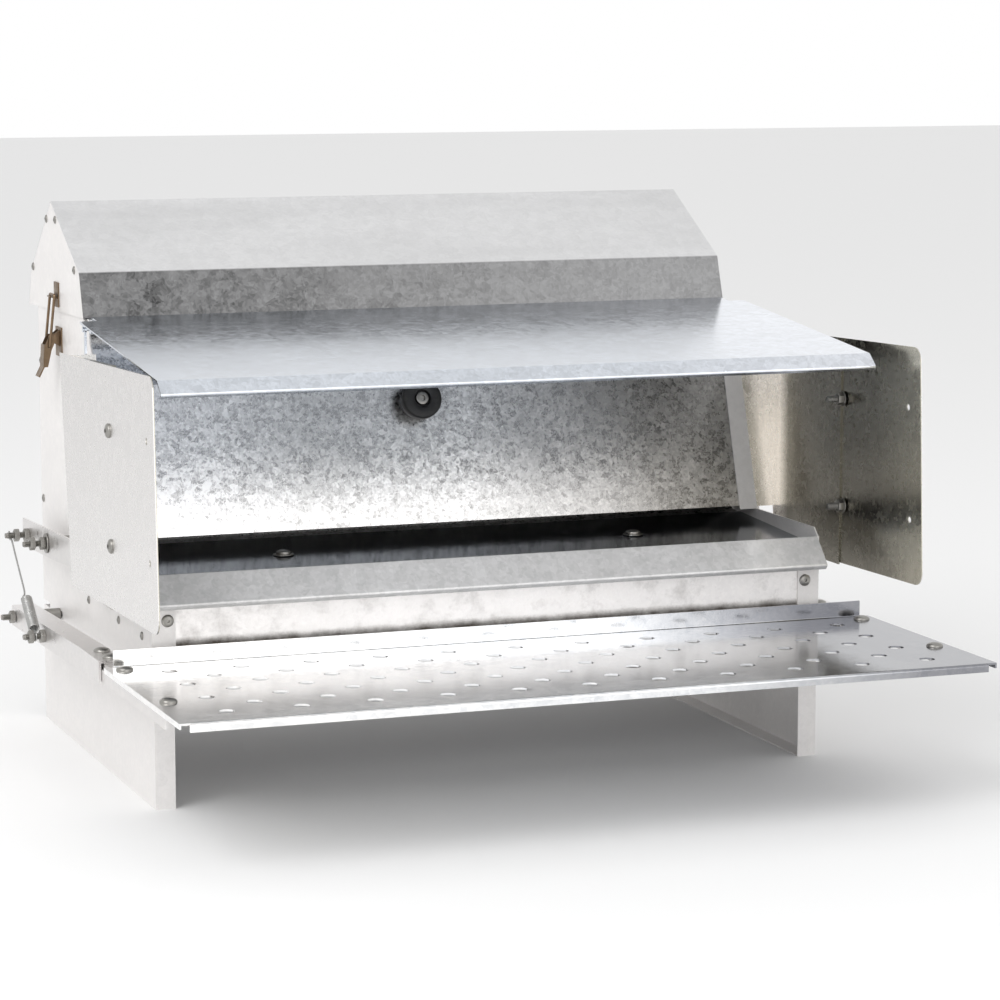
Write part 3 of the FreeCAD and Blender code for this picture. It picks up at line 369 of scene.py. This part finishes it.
# ---- materials ------------------------------------------------------------------
class Recipe:
    """A material's node tree, with short calls that add and link its nodes."""

    def __init__(self, name):
        self.material = bpy.data.materials.get(name) or bpy.data.materials.new(name)
        self.material.use_nodes = True
        self.tree = self.material.node_tree
        self.tree.nodes.clear()
        self.shader = self.add("ShaderNodeBsdfPrincipled")
        output = self.add("ShaderNodeOutputMaterial")
        self.link(self.shader.outputs["BSDF"], output.inputs["Surface"])
        self.place = self.add("ShaderNodeTexCoord").outputs["Object"]

    def add(self, kind, **values):
        node = self.tree.nodes.new(kind)
        for key, value in values.items():
            setattr(node, key, value)
        return node

    def link(self, source, target):
        self.tree.links.new(source, target)

    def noise(self, scale, detail=3.0, roughness=0.55, place=None):
        node = self.add("ShaderNodeTexNoise")
        node.inputs["Scale"].default_value = scale
        node.inputs["Detail"].default_value = detail
        node.inputs["Roughness"].default_value = roughness
        self.link(place or self.place, node.inputs["Vector"])
        return node

    def stretched(self, scales):
        node = self.add("ShaderNodeMapping")
        node.inputs["Scale"].default_value = scales
        self.link(self.place, node.inputs["Vector"])
        return node.outputs["Vector"]

    def shifted(self, scale, amount):
        """The surface's coordinates, pushed about by noise."""
        noise = self.noise(scale, 2.0)
        centred = self.add("ShaderNodeVectorMath", operation="SUBTRACT")
        self.link(noise.outputs["Color"], centred.inputs[0])
        centred.inputs[1].default_value = (0.5, 0.5, 0.5)
        scaled = self.add("ShaderNodeVectorMath", operation="SCALE")
        self.link(centred.outputs[0], scaled.inputs[0])
        scaled.inputs["Scale"].default_value = amount
        moved = self.add("ShaderNodeVectorMath", operation="ADD")
        self.link(self.place, moved.inputs[0])
        self.link(scaled.outputs[0], moved.inputs[1])
        return moved.outputs[0]

    def crystals(self, size, place):
        """A random value for each crystal."""
        node = self.add("ShaderNodeTexVoronoi", feature="F1", distance="MINKOWSKI")
        node.inputs["Scale"].default_value = 1 / size
        node.inputs["Exponent"].default_value = 1.2
        self.link(place, node.inputs["Vector"])
        split = self.add("ShaderNodeSeparateColor")
        self.link(node.outputs["Color"], split.inputs["Color"])
        return split.outputs["Red"]

    def spangled(self, width, fine_width, place):
        """Large and fine crystals in equal shares, as one value."""
        large = self.crystals(width, place)
        fine = self.crystals(fine_width, place)
        return self.sums("ADD", self.sums("MULTIPLY", large, 0.5), self.sums("MULTIPLY", fine, 0.5))

    def ranged(self, value, low, high, from_low=0.0, from_high=1.0):
        node = self.add("ShaderNodeMapRange")
        node.inputs["From Min"].default_value = from_low
        node.inputs["From Max"].default_value = from_high
        node.inputs["To Min"].default_value = low
        node.inputs["To Max"].default_value = high
        self.link(value, node.inputs["Value"])
        return node.outputs["Result"]

    def sums(self, kind, a, b):
        node = self.add("ShaderNodeMath", operation=kind)
        for socket, value in zip(node.inputs, (a, b)):
            if isinstance(value, (int, float)):
                socket.default_value = value
            else:
                self.link(value, socket)
        return node.outputs[0]

    def blend(self, share, first, second, kind="MIX"):
        node = self.add("ShaderNodeMix", data_type="RGBA", blend_type=kind)
        for socket, value in ((node.inputs[0], share), (node.inputs[6], first), (node.inputs[7], second)):
            if isinstance(value, (int, float)):
                socket.default_value = value
            elif isinstance(value, (tuple, list)):
                socket.default_value = (*value, 1)
            else:
                self.link(value, socket)
        return node.outputs[2]

    def along(self, axis, start, end):
        """0 to 1 across the object, from start to end in metres."""
        split = self.add("ShaderNodeSeparateXYZ")
        self.link(self.place, split.inputs[0])
        return self.ranged(split.outputs["XYZ".index(axis)], 0.0, 1.0, start, end)

    def outside(self, axis, limit):
        """1 on what lies further than limit from the middle plane, 0 inside it."""
        split = self.add("ShaderNodeSeparateXYZ")
        self.link(self.place, split.inputs[0])
        away = self.sums("ABSOLUTE", split.outputs["XYZ".index(axis)], 0.0)
        return self.ranged(away, 0.0, 1.0, limit - 0.0002, limit + 0.0002)

    def bump(self, height, strength, distance):
        node = self.add("ShaderNodeBump")
        node.inputs["Strength"].default_value = strength
        node.inputs["Distance"].default_value = distance
        self.link(height, node.inputs["Height"])
        self.link(node.outputs["Normal"], self.shader.inputs["Normal"])

    def waves(self, distance):
        """The slow wave of a rolled sheet, with a very fine grain over it."""
        slow = self.noise(9.0, 1.0).outputs["Fac"]
        grain = self.sums("MULTIPLY", self.noise(700.0, 1.0).outputs["Fac"], 0.02)
        self.bump(self.sums("ADD", slow, grain), 0.5, distance)


def tint(colour, factor):
    return tuple(min(1.0, c * factor) for c in colour)


def galvanised(name, colour, spangle, contrast, rough, cloud=0.06, brush=None, fades=(), dirt=None,
               outer=None, metal=1.0, dull=None):
    """Zinc-coated sheet: crystals that differ in tone and gloss, a cloudy bloom and a slight wave.

    brush adds fine lines, fades change the tone across the object (painted shade and light on the hopper
    front, a painted reflection on the guards), dirt soils one edge, outer gives the faces beyond a limit a
    clean colour, and dull takes the metal shine off part of the sheet.
    """
    r = Recipe(name)
    mixed = r.spangled(spangle, spangle * 0.37, r.shifted(90.0, 0.006))
    tone = r.blend(mixed, tint(colour, 1 - contrast), tint(colour, 1 + contrast))
    speck = r.ranged(r.noise(260.0, 2.0).outputs["Fac"], 0.0, 1.0, 0.35, 0.75)
    tone = r.blend(r.sums("MULTIPLY", speck, contrast * 0.5), tone, tint(colour, 0.72))
    cloudy = r.ranged(r.noise(6.0, 4.0).outputs["Fac"], 0.0, 1.0, 0.35, 0.70)
    tone = r.blend(r.sums("MULTIPLY", cloudy, cloud * 2), tone, tint(colour, 0.70))
    if brush:
        lines = r.ranged(r.noise(1.0, 3.0, 0.6, r.stretched(brush)).outputs["Fac"], 0.0, 1.0, 0.3, 0.7)
        tone = r.blend(r.sums("MULTIPLY", lines, 0.28), tone, tint(colour, 0.6))
    for axis, start, end, far in fades:
        tone = r.blend(r.along(axis, start, end), tone, r.blend(1.0, tone, far, "MULTIPLY"))
    if outer:
        limit, clean = outer
        tone = r.blend(r.outside("X", limit), tone, r.blend(mixed, tint(clean, 0.93), tint(clean, 1.04)))
    if dirt:
        axis, start, end, soil = dirt
        ragged = r.ranged(r.noise(38.0, 5.0, 0.7).outputs["Fac"], -0.45, 0.45, 0.3, 0.7)
        share = r.sums("ADD", r.along(axis, start, end), ragged)
        held = r.add("ShaderNodeClamp")
        r.link(r.sums("MULTIPLY", share, 0.8), held.inputs["Value"])
        tone = r.blend(held.outputs[0], tone, soil)
    r.link(tone, r.shader.inputs["Base Color"])
    r.shader.inputs["Metallic"].default_value = metal
    if dull:
        r.link(r.ranged(r.along(*dull), metal, 0.25), r.shader.inputs["Metallic"])
    r.link(r.ranged(mixed, rough * 0.72, rough * 1.25), r.shader.inputs["Roughness"])
    r.waves(0.0004)
    return r.material


def fascia_sheet(name, colour, spangle, front, shoulder):
    """The roof's sheet: smooth and pale on its slopes, darker and mottled on its front fascia."""
    r = Recipe(name)
    mixed = r.spangled(spangle * 0.9, spangle * 0.3, r.shifted(60.0, 0.012))
    slope = r.blend(mixed, tint(colour, 0.94), tint(colour, 1.05))
    streaks = r.noise(1.0, 3.0, 0.5, r.stretched((5.0, 22.0, 22.0)))
    smears = r.ranged(streaks.outputs["Fac"], 0.0, 0.22, 0.45, 0.75)
    slope = r.blend(smears, slope, tint(colour, 0.6))
    cloudy = r.ranged(r.noise(16.0, 5.0, 0.65).outputs["Fac"], 0.0, 1.0, 0.35, 0.65)
    fascia = r.blend(mixed, tint(colour, 0.05), tint(colour, 0.30))
    fascia = r.blend(r.sums("MULTIPLY", cloudy, 0.5), fascia, tint(colour, 0.34))
    paler = r.blend(mixed, tint(colour, 0.32), tint(colour, 0.46))
    fascia = r.blend(r.along("X", -0.22, 0.22), fascia, paler)
    low = r.along("Z", shoulder + FINISH_EDGE, shoulder - FINISH_EDGE)
    ahead = r.along("Y", front, front - 0.001)
    r.link(r.blend(r.sums("MULTIPLY", low, ahead), slope, fascia), r.shader.inputs["Base Color"])
    r.shader.inputs["Metallic"].default_value = 1.0
    r.link(r.ranged(mixed, 0.28, 0.46), r.shader.inputs["Roughness"])
    r.waves(0.0004)
    return r.material


def plated(name, colour, rough, mottling=0.25):
    """Plated or bare steel of the small parts, with darker patches and handling marks."""
    r = Recipe(name)
    patches = r.ranged(r.noise(120.0, 4.0, 0.65).outputs["Fac"], 0.0, 1.0, 0.35, 0.70)
    tone = r.blend(r.sums("MULTIPLY", patches, mottling), colour, tint(colour, 0.45))
    r.link(tone, r.shader.inputs["Base Color"])
    r.shader.inputs["Metallic"].default_value = 1.0
    r.link(r.ranged(patches, rough * 0.75, rough * 1.4), r.shader.inputs["Roughness"])
    r.bump(r.noise(900.0, 2.0).outputs["Fac"], 0.25, 0.0001)
    return r.material


def rubbery(name, colour):
    """Moulded rubber with a dusty, faintly grained skin."""
    r = Recipe(name)
    dust = r.ranged(r.noise(160.0, 4.0, 0.7).outputs["Fac"], 0.0, 0.5, 0.5, 0.8)
    r.link(r.blend(dust, colour, (0.07, 0.068, 0.065)), r.shader.inputs["Base Color"])
    r.link(r.ranged(dust, 0.42, 0.7, 0.0, 0.5), r.shader.inputs["Roughness"])
    r.bump(r.noise(1400.0, 2.0).outputs["Fac"], 0.3, 0.0001)
    return r.material


def metals():
    return bpy.context.scene.feeder_finishes


def zinc():
    return plated("zinc_plating", tuple(metals().zinc), 0.34)


def hardware(name, shapes, body, *nodes):
    """Joins zinc-plated shapes into one piece that stands for the plain nodes."""
    fit(one_piece(name, shapes), body, "zinc_hardware", zinc(), *nodes)


def pivot_pair(settings, place, start, end, nuts, washer=None, spacer=None):
    """One bolt on each side, pointing outwards from start to end, all given in millimetres from the middle.

    washer is its radius and thickness in metres and its distance out, and spacer is a tube's two ends and
    its radius in metres.
    """
    shapes = []
    for sign in (-1, 1):
        out = Vector((sign, 0, 0))
        shapes += bolt_with_nuts(
            settings, at(sign * start, *place), out, (end - start) * MM, [(nut - start) * MM for nut in nuts],
            washer=washer and (washer[0], washer[1], (washer[2] - start) * MM))
        if spacer:
            inner, outer, radius = spacer
            length = (outer - inner) * MM
            tube = turned([(0, 0), (radius * 0.93, 0), (radius, 0.0004), (radius, length - 0.0004),
                           (radius * 0.93, length), (0, length)], steps=24)
            shapes.append(set_down(tube, at(sign * inner, *place), out))
    return shapes


def paint(names, material):
    for name in names:
        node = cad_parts[name]
        node.data.materials.clear()
        node.data.materials.append(material)


def pair(*names):
    return [f"{name}_{side}" for name in names for side in ("left", "right")]


# ---- operators --------------------------------------------------------------------
class FEEDER_OT_sheet_finishes(bpy.types.Operator):
    """Give each folded sheet part its zinc finish"""

    bl_idname = "feeder.sheet_finishes"
    bl_label = "Finish the Sheet Parts"

    def execute(self, context):
        m = context.scene.feeder_finishes
        size = m.spangle
        walls = galvanised("wall_sheet", tuple(m.wall), size, 0.05, 0.42, cloud=0.05, metal=0.3)
        paint(pair("body_side", "stand", "roof_gable") + ["hopper_back_panel"], walls)
        shoulder = at(0, 0, ROOF_SHOULDER).z
        front = at(0, ROOF_FRONT, 0).y
        paint(["roof_cap"], fascia_sheet("roof_sheet", tuple(m.roof), size, front, shoulder))
        # The hopper sheet's fades are painted shade and light: darker to the right and near the top, where
        # the lid shades it, and lighter to the left and towards the bottom.
        paint(["hopper_front_panel", "hopper_floor"], galvanised(
            "hopper_sheet", tuple(m.hopper), size * 0.62, 0.62, 0.30, cloud=0.30,
            fades=(("X", 0.02, 0.20, (0.50, 0.49, 0.48)), ("Z", 0.275, 0.215, (1.45, 1.43, 1.41)),
                   ("X", -0.12, -0.28, (1.35, 1.35, 1.37)))))
        paint(["lid_panel"] + pair("lid_lug", "lift_link"), galvanised(
            "lid_sheet", tuple(m.lid), size, 0.12, 0.20, cloud=0.12,
            fades=(("X", 0.08, 0.30, (1.12, 1.10, 1.09)),)))
        crest = at(0, TROUGH_CREST, 0).y
        paint(["trough_pan"], galvanised(
            "trough_sheet", tuple(m.trough), size, 0.14, 0.16, cloud=0.14,
            fades=(("Y", crest + 0.0015, crest - 0.0005, (4.6, 4.2, 3.75)),),
            dull=("Y", crest + 0.0015, crest - 0.0005)))
        paint(["trough_apron"], galvanised(
            "apron_sheet", tint(tuple(m.wall), 1.10), size, 0.08, 0.40, cloud=0.04, metal=0.7,
            dirt=("Z", 0.143, 0.1365, (0.10, 0.085, 0.07))))
        # The guard sheet's fades are a painted reflection: much lighter behind y 386 mm and lighter in front
        # of y 110 mm.
        paint(pair("guard_plate", "guard_wing"), galvanised(
            "guard_sheet", tuple(m.guard), size, 0.06, 0.26, cloud=0.08, brush=(500.0, 500.0, 9.0),
            fades=(("Y", at(0, 368.0, 0).y, at(0, 386.0, 0).y, (3.1, 3.1, 3.4)),
                   ("Y", at(0, 200.0, 0).y, at(0, 110.0, 0).y, (1.9, 1.9, 1.85))),
            outer=(HIGH.x - GUARD_INSET, tuple(m.wall))))
        return {"FINISHED"}


class FEEDER_OT_plate_finishes(bpy.types.Operator):
    """Give the step, its arms and the rockers their plate finish"""

    bl_idname = "feeder.plate_finishes"
    bl_label = "Finish the Plate Parts"

    def execute(self, context):
        m = context.scene.feeder_finishes
        paint(["step_plate"], galvanised(
            "step_sheet", tuple(m.step), m.spangle, 0.16, 0.15, cloud=0.22,
            fades=(("X", 0.08, 0.28, (0.36, 0.36, 0.38)), ("X", -0.02, -0.26, (1.14, 1.12, 1.09)))))
        paint(pair("step_bracket", "step_arm", "rocker_plate"), galvanised(
            "arm_plate", tint(tuple(m.wall), 0.95), m.spangle, 0.08, 0.36, cloud=0.08))
        paint(["lid_hinge_rod"] + pair("rocker_pin"), zinc())
        paint(pair("latch_base", "latch_lever", "latch_keeper", "latch_bail"), plated(
            "latch_finish", tuple(m.latch), 0.38, 0.5))
        return {"FINISHED"}


class FEEDER_OT_springs(bpy.types.Operator):
    """Wind the two lift springs, each with its foot eye and its long hook"""

    bl_idname = "feeder.springs"
    bl_label = "Wind the Springs"

    def execute(self, context):
        s = context.scene.feeder_fittings
        finish = plated("spring_wire", tuple(metals().wire), 0.30, 0.3)
        for side, sign in (("left", -1), ("right", 1)):
            low = at(sign * 349.0, *SPRING_BOLT)
            high = at(sign * 339.0, *TAIL_BOLT)
            axis = (high - low).normalized()
            middle = s.coil_radius - s.wire_radius
            start = 0.0115
            length = 0.046
            deselect()
            bpy.ops.mesh.primitive_circle_add(
                vertices=8, radius=s.wire_radius, fill_type="NGON", location=(middle, 0, 0),
                rotation=(math.pi / 2, 0, 0))
            coil = bpy.context.active_object
            bpy.ops.object.transform_apply(location=True, rotation=True, scale=True)
            winding = coil.modifiers.new("winding", "SCREW")
            winding.axis = "Z"
            winding.angle = 2 * math.pi
            winding.screw_offset = length / s.coil_turns
            winding.iterations = s.coil_turns
            winding.steps = 20
            winding.render_steps = 20
            bpy.ops.object.modifier_apply(modifier="winding")
            edit(coil)
            bpy.ops.mesh.select_all(action="SELECT")
            bpy.ops.mesh.remove_doubles(threshold=0.00001)
            bpy.ops.mesh.normals_make_consistent(inside=False)
            done()
            set_down(coil, low + axis * start, axis)
            turn = axis.to_track_quat("Z", "Y")
            across = turn @ Vector((1, 0, 0))
            eye = s.bolt_radius + s.wire_radius
            foot = [low + axis * start + across * middle]
            foot += [low + axis * (start - 0.003) + across * middle * 0.5, low + axis * (eye * 1.6)]
            upright = Vector((0, axis.y, axis.z)).normalized()
            aside = Vector((0, -upright.z, upright.y))
            foot += eye_points(low, upright, aside, eye, 0.0, 13, sign * 0.0012)
            end = low + axis * (start + length)
            hook = [end + across * middle, end + axis * 0.004 + across * middle * 0.5, end + axis * 0.008]
            hook += [end + (high - end) * share for share in (0.3, 0.5, 0.7)]
            hook += eye_points(high, upright, aside, eye, math.pi, 10, sign * 0.0012)
            shapes = [coil, wire_run(foot, s.wire_radius, "foot"), wire_run(hook, s.wire_radius, "hook")]
            piece = one_piece(f"spring_{side}", shapes, 60)
            fit(piece, "treadle", "spring_steel", finish, f"lift_spring_{side}")
        return {"FINISHED"}


class FEEDER_OT_step_bolts(bpy.types.Operator):
    """Make the round-headed bolts of the step and its arms, with their nuts below"""

    bl_idname = "feeder.step_bolts"
    bl_label = "Make the Step Bolts"

    def execute(self, context):
        s = context.scene.feeder_fittings
        down = Vector((0, 0, -1))
        for name, node, top, length, places in (
                ("step_bolt_set", "step_bolts", 124.0, 0.013, ((329.5, 219.5), (329.5, 83.5))),
                ("arm_bolt_set", "arm_bolts", 124.52, 0.022, ((328.0, 272.0), (328.0, 302.0)))):
            shapes = []
            head = dome_head(0.007, 0.0034)
            for x, y in places:
                for sign in (-1, 1):
                    start = at(sign * x, y, top)
                    shapes += bolt_with_nuts(s, start, down, length, [length - 0.0075])
                    shapes.append(set_down(copied(head), start))
            discard(head)
            hardware(name, shapes, "treadle", node)
        return {"FINISHED"}


class FEEDER_OT_pivot_bolts(bpy.types.Operator):
    """Make the pivots of the treadle and the rockers, and the bolts that hold the springs"""

    bl_idname = "feeder.pivot_bolts"
    bl_label = "Make the Pivot Bolts"

    def execute(self, context):
        s = context.scene.feeder_fittings
        treadle = pivot_pair(s, TREADLE_PIVOT, 291.8, 354.0, (293.0, 341.4), spacer=(300.0, 338.6, 0.0055))
        hardware("treadle_pivot_set", treadle, "feeder", "treadle_pivots")
        rocker = pivot_pair(s, ROCKER_PIVOT, 291.8, 344.0, (293.8, 323.9, 333.0),
                            washer=(0.009, 0.0014, 322.4), spacer=(300.0, 319.6, 0.006))
        hardware("rocker_pivot_set", rocker, "feeder", "rocker_pivots")
        spring = pivot_pair(s, SPRING_BOLT, 333.0, 360.5, (334.0, 341.0, 351.0))
        hardware("spring_bolt_set", spring, "treadle", "spring_bolts")
        for side, sign in (("left", -1), ("right", 1)):
            tail = bolt_with_nuts(s, at(sign * 314.0, *TAIL_BOLT), (sign, 0, 0), 0.030, (0.001, 0.008, 0.017))
            hardware(f"tail_bolt_set_{side}", tail, f"rocker_{side}", f"tail_bolt_{side}")
        return {"FINISHED"}


class FEEDER_OT_guard_screws(bpy.types.Operator):
    """Make the long guard screws with their nuts and washers"""

    bl_idname = "feeder.guard_screws"
    bl_label = "Make the Guard Screws"

    def execute(self, context):
        s = context.scene.feeder_fittings
        shapes = []
        for y, z in GUARD_SCREWS:
            for sign in (-1, 1):
                out = Vector((sign, 0, 0))
                shapes.append(set_down(threaded(0.0165, s), at(sign * 312.2, y, z), out))
                shapes.append(set_down(dome_head(0.006, 0.0032, pit=0.0017), at(sign * 330.0, y, z), out))
        hardware("guard_screw_set", shapes, "feeder", "guard_screws")
        shapes = []
        nut = hex_nut(s)
        ring = turned([(0.0028, 0), (0.0063, 0), (0.0065, 0.0002), (0.0065, 0.0008), (0.0063, 0.001),
                       (0.0028, 0.001), (0.0028, 0)], steps=24)
        for y, z in GUARD_SCREWS:
            for sign in (-1, 1):
                inward = Vector((-sign, 0, 0))
                shapes.append(set_down(copied(ring), at(sign * 327.5, y, z), inward))
                shapes.append(set_down(copied(nut), at(sign * 326.5, y, z), inward))
        discard(nut)
        discard(ring)
        hardware("guard_nut_set", shapes, "feeder", "guard_nuts")
        return {"FINISHED"}


class FEEDER_OT_rivets(bpy.types.Operator):
    """Set the rivets of the body and the gables, and the two bolts of the trough"""

    bl_idname = "feeder.rivets"
    bl_label = "Set the Rivets"

    def execute(self, context):
        s = context.scene.feeder_fittings
        small = dome_head(0.0036, 0.0016, pit=0.0010)
        large = dome_head(0.0052, 0.0022, pit=0.0016)
        shapes = []
        for sign in (-1, 1):
            for y, z in BODY_RIVETS:
                shapes.append(set_down(copied(small), at(sign * 300.0, y, z), (sign, 0, 0)))
            shapes.append(set_down(copied(large), at(sign * 286.7, 245.2, 157.0), (0, -1, 0)))
        hardware("rivet_set_body", shapes, "feeder", "body_rivets")
        shapes = []
        for sign in (-1, 1):
            for y, z in GABLE_RIVETS:
                shapes.append(set_down(copied(small), at(sign * 301.5, y, z), (sign, 0, 0)))
        hardware("rivet_set_gables", shapes, "roof", *pair("gable_rivets"))
        discard(small)
        discard(large)
        shapes = []
        for x in (-TROUGH_BOLT_X, TROUGH_BOLT_X):
            top = at(x, TROUGH_BOLT_Y, PAN_Z + TROUGH_BOLT_BACK * PAN_RISE / TROUGH_DEPTH)
            head = turned([(0, 0), (0.0088, 0), (0.0090, 0.0004), (0.0088, 0.0008), (0.0064, 0.0009),
                           (0.0065, 0.0018), (0.0060, 0.0030), (0.0045, 0.0038), (0.0024, 0.0041),
                           (0, 0.0041)], steps=28)
            shapes.append(set_down(head, top))
            shapes += bolt_with_nuts(s, top, (0, 0, -1), 0.012, (0.003,))
        hardware("trough_bolt_set", shapes, "feeder", "trough_bolts")
        return {"FINISHED"}


class FEEDER_OT_buffer(bpy.types.Operator):
    """Mould the rubber buffer on the hopper front and fit its screw"""

    bl_idname = "feeder.buffer"
    bl_label = "Mould the Buffer"

    def execute(self, context):
        lean = math.radians(17.7)
        axis = Vector((0, -math.cos(lean), math.sin(lean)))
        z = 307.8
        foot = at(-15.7, 374.0 + (z - 202.0) * math.tan(lean) + 1.2 / math.cos(lean), z)
        outline = [(0.003, 0), (0.0146, 0), (0.0150, 0.0004), (0.0150, 0.0042), (0.0154, 0.0050),
                   (0.0172, 0.0108), (0.0178, 0.0122), (0.0180, 0.0140), (0.0180, 0.0182), (0.0176, 0.0193),
                   (0.0166, 0.0200), (0.0086, 0.0200), (0.0077, 0.0196), (0.0074, 0.0188), (0.0074, 0.0160),
                   (0.003, 0.0160), (0.003, 0)]
        body = set_down(turned(outline, steps=48), foot, axis)
        fit(one_piece("rubber_buffer", [body], 40), "feeder", "black_rubber",
            rubbery("buffer_rubber", tuple(metals().rubber)), "lid_bumper")
        s = context.scene.feeder_fittings
        head = turned([(0, 0), (0.0058, 0), (0.0060, 0.0003), (0.0060, 0.0020), (0.0054, 0.0030),
                       (0.0036, 0.0034), (0.0028, 0.0034), (0.0024, 0.0012), (0, 0.0010)], steps=24)
        set_down(head, foot + axis * 0.016, axis)
        shank = set_down(threaded(0.0194, s), foot - axis * 0.0034, axis)
        hardware("buffer_screw", [head, shank], "feeder", "bumper_screw")
        return {"FINISHED"}


class FEEDER_OT_stage(bpy.types.Operator):
    """Lay the plain floor, hang the soft lights and set up the camera"""

    bl_idname = "feeder.stage"
    bl_label = "Set the Stage"

    def execute(self, context):
        s = context.scene.feeder_studio
        deselect()
        bpy.ops.mesh.primitive_plane_add(size=30.0, location=(0, 0, 0))
        floor = bpy.context.active_object
        floor.name = "studio_floor"
        bpy.ops.object.transform_apply(location=True, rotation=True, scale=True)
        r = Recipe("studio_floor_paint")
        patches = r.ranged(r.noise(3.0, 3.0).outputs["Fac"], 0.98, 1.0)
        r.link(r.blend(patches, tint(tuple(s.floor), 0.97), tuple(s.floor)), r.shader.inputs["Base Color"])
        r.shader.inputs["Roughness"].default_value = 0.85
        floor.data.materials.append(r.material)

        world = bpy.data.worlds.new("studio_room")
        world.use_nodes = True
        tree = world.node_tree
        background = tree.nodes["Background"]
        background.inputs["Strength"].default_value = s.sky
        direction = tree.nodes.new("ShaderNodeTexCoord")
        split = tree.nodes.new("ShaderNodeSeparateXYZ")
        height = tree.nodes.new("ShaderNodeMapRange")
        height.inputs["From Min"].default_value = 0.25
        height.inputs["From Max"].default_value = 0.85
        height.inputs["To Min"].default_value = 1.0
        height.inputs["To Max"].default_value = 0.85
        tree.links.new(direction.outputs["Generated"], split.inputs[0])
        tree.links.new(split.outputs["Z"], height.inputs["Value"])
        tree.links.new(height.outputs["Result"], background.inputs["Color"])
        context.scene.world = world
        context.scene.view_settings.view_transform = "Standard"

        for name, place, aim, size, power in (
                ("key_light", (-2.2, -1.6, 2.6), (0, 0, 0.2), 2.2, s.key),
                ("fill_light", (0.6, -3.2, 1.0), (0, 0, 0.25), 2.4, s.key * FILL_SHARE)):
            bpy.ops.object.light_add(type="AREA", location=place)
            light = bpy.context.active_object
            light.name = name
            light.data.energy = power
            light.data.size = size
            light.rotation_euler = (Vector(aim) - Vector(place)).to_track_quat("-Z", "Y").to_euler()

        bpy.ops.object.camera_add(
            location=(-0.9775, -2.7155, 0.6458), rotation=(math.radians(81.80), 0, math.radians(-20.47)))
        camera = bpy.context.active_object
        camera.name = "studio_camera"
        camera.data.sensor_width = 36.0
        camera.data.lens = s.lens
        context.scene.camera = camera
        return {"FINISHED"}


class FEEDER_PT_panel(bpy.types.Panel):
    """Lists the feeder's steps in order"""

    bl_idname = "FEEDER_PT_panel"
    bl_label = "Poultry Feeder"
    bl_space_type = "VIEW_3D"
    bl_region_type = "UI"
    bl_category = "Feeder"

    def draw(self, context):
        scene = context.scene
        for settings in (scene.feeder_finishes, scene.feeder_fittings, scene.feeder_studio):
            box = self.layout.box()
            for key in settings.bl_rna.properties.keys():
                if key not in ("rna_type", "name"):
                    box.prop(settings, key)
        for operator in OPERATORS:
            self.layout.operator(operator.bl_idname)


OPERATORS = (
    FEEDER_OT_sheet_finishes,
    FEEDER_OT_plate_finishes,
    FEEDER_OT_springs,
    FEEDER_OT_step_bolts,
    FEEDER_OT_pivot_bolts,
    FEEDER_OT_guard_screws,
    FEEDER_OT_rivets,
    FEEDER_OT_buffer,
    FEEDER_OT_stage,
)
SETTINGS = (FEEDER_PG_finishes, FEEDER_PG_fittings, FEEDER_PG_studio)
CLASSES = SETTINGS + OPERATORS + (FEEDER_PT_panel,)


def register():
    for cls in CLASSES:
        bpy.utils.register_class(cls)
    bpy.types.Scene.feeder_finishes = bpy.props.PointerProperty(type=FEEDER_PG_finishes)
    bpy.types.Scene.feeder_fittings = bpy.props.PointerProperty(type=FEEDER_PG_fittings)
    bpy.types.Scene.feeder_studio = bpy.props.PointerProperty(type=FEEDER_PG_studio)


def unregister():
    del bpy.types.Scene.feeder_studio
    del bpy.types.Scene.feeder_fittings
    del bpy.types.Scene.feeder_finishes
    for cls in reversed(CLASSES):
        bpy.utils.unregister_class(cls)


def main():
    register()
    bpy.ops.feeder.sheet_finishes()
    bpy.ops.feeder.plate_finishes()
    bpy.ops.feeder.springs()
    bpy.ops.feeder.step_bolts()
    bpy.ops.feeder.pivot_bolts()
    bpy.ops.feeder.guard_screws()
    bpy.ops.feeder.rivets()
    bpy.ops.feeder.buffer()
    bpy.ops.feeder.stage()


if __name__ == "__main__":
    main()
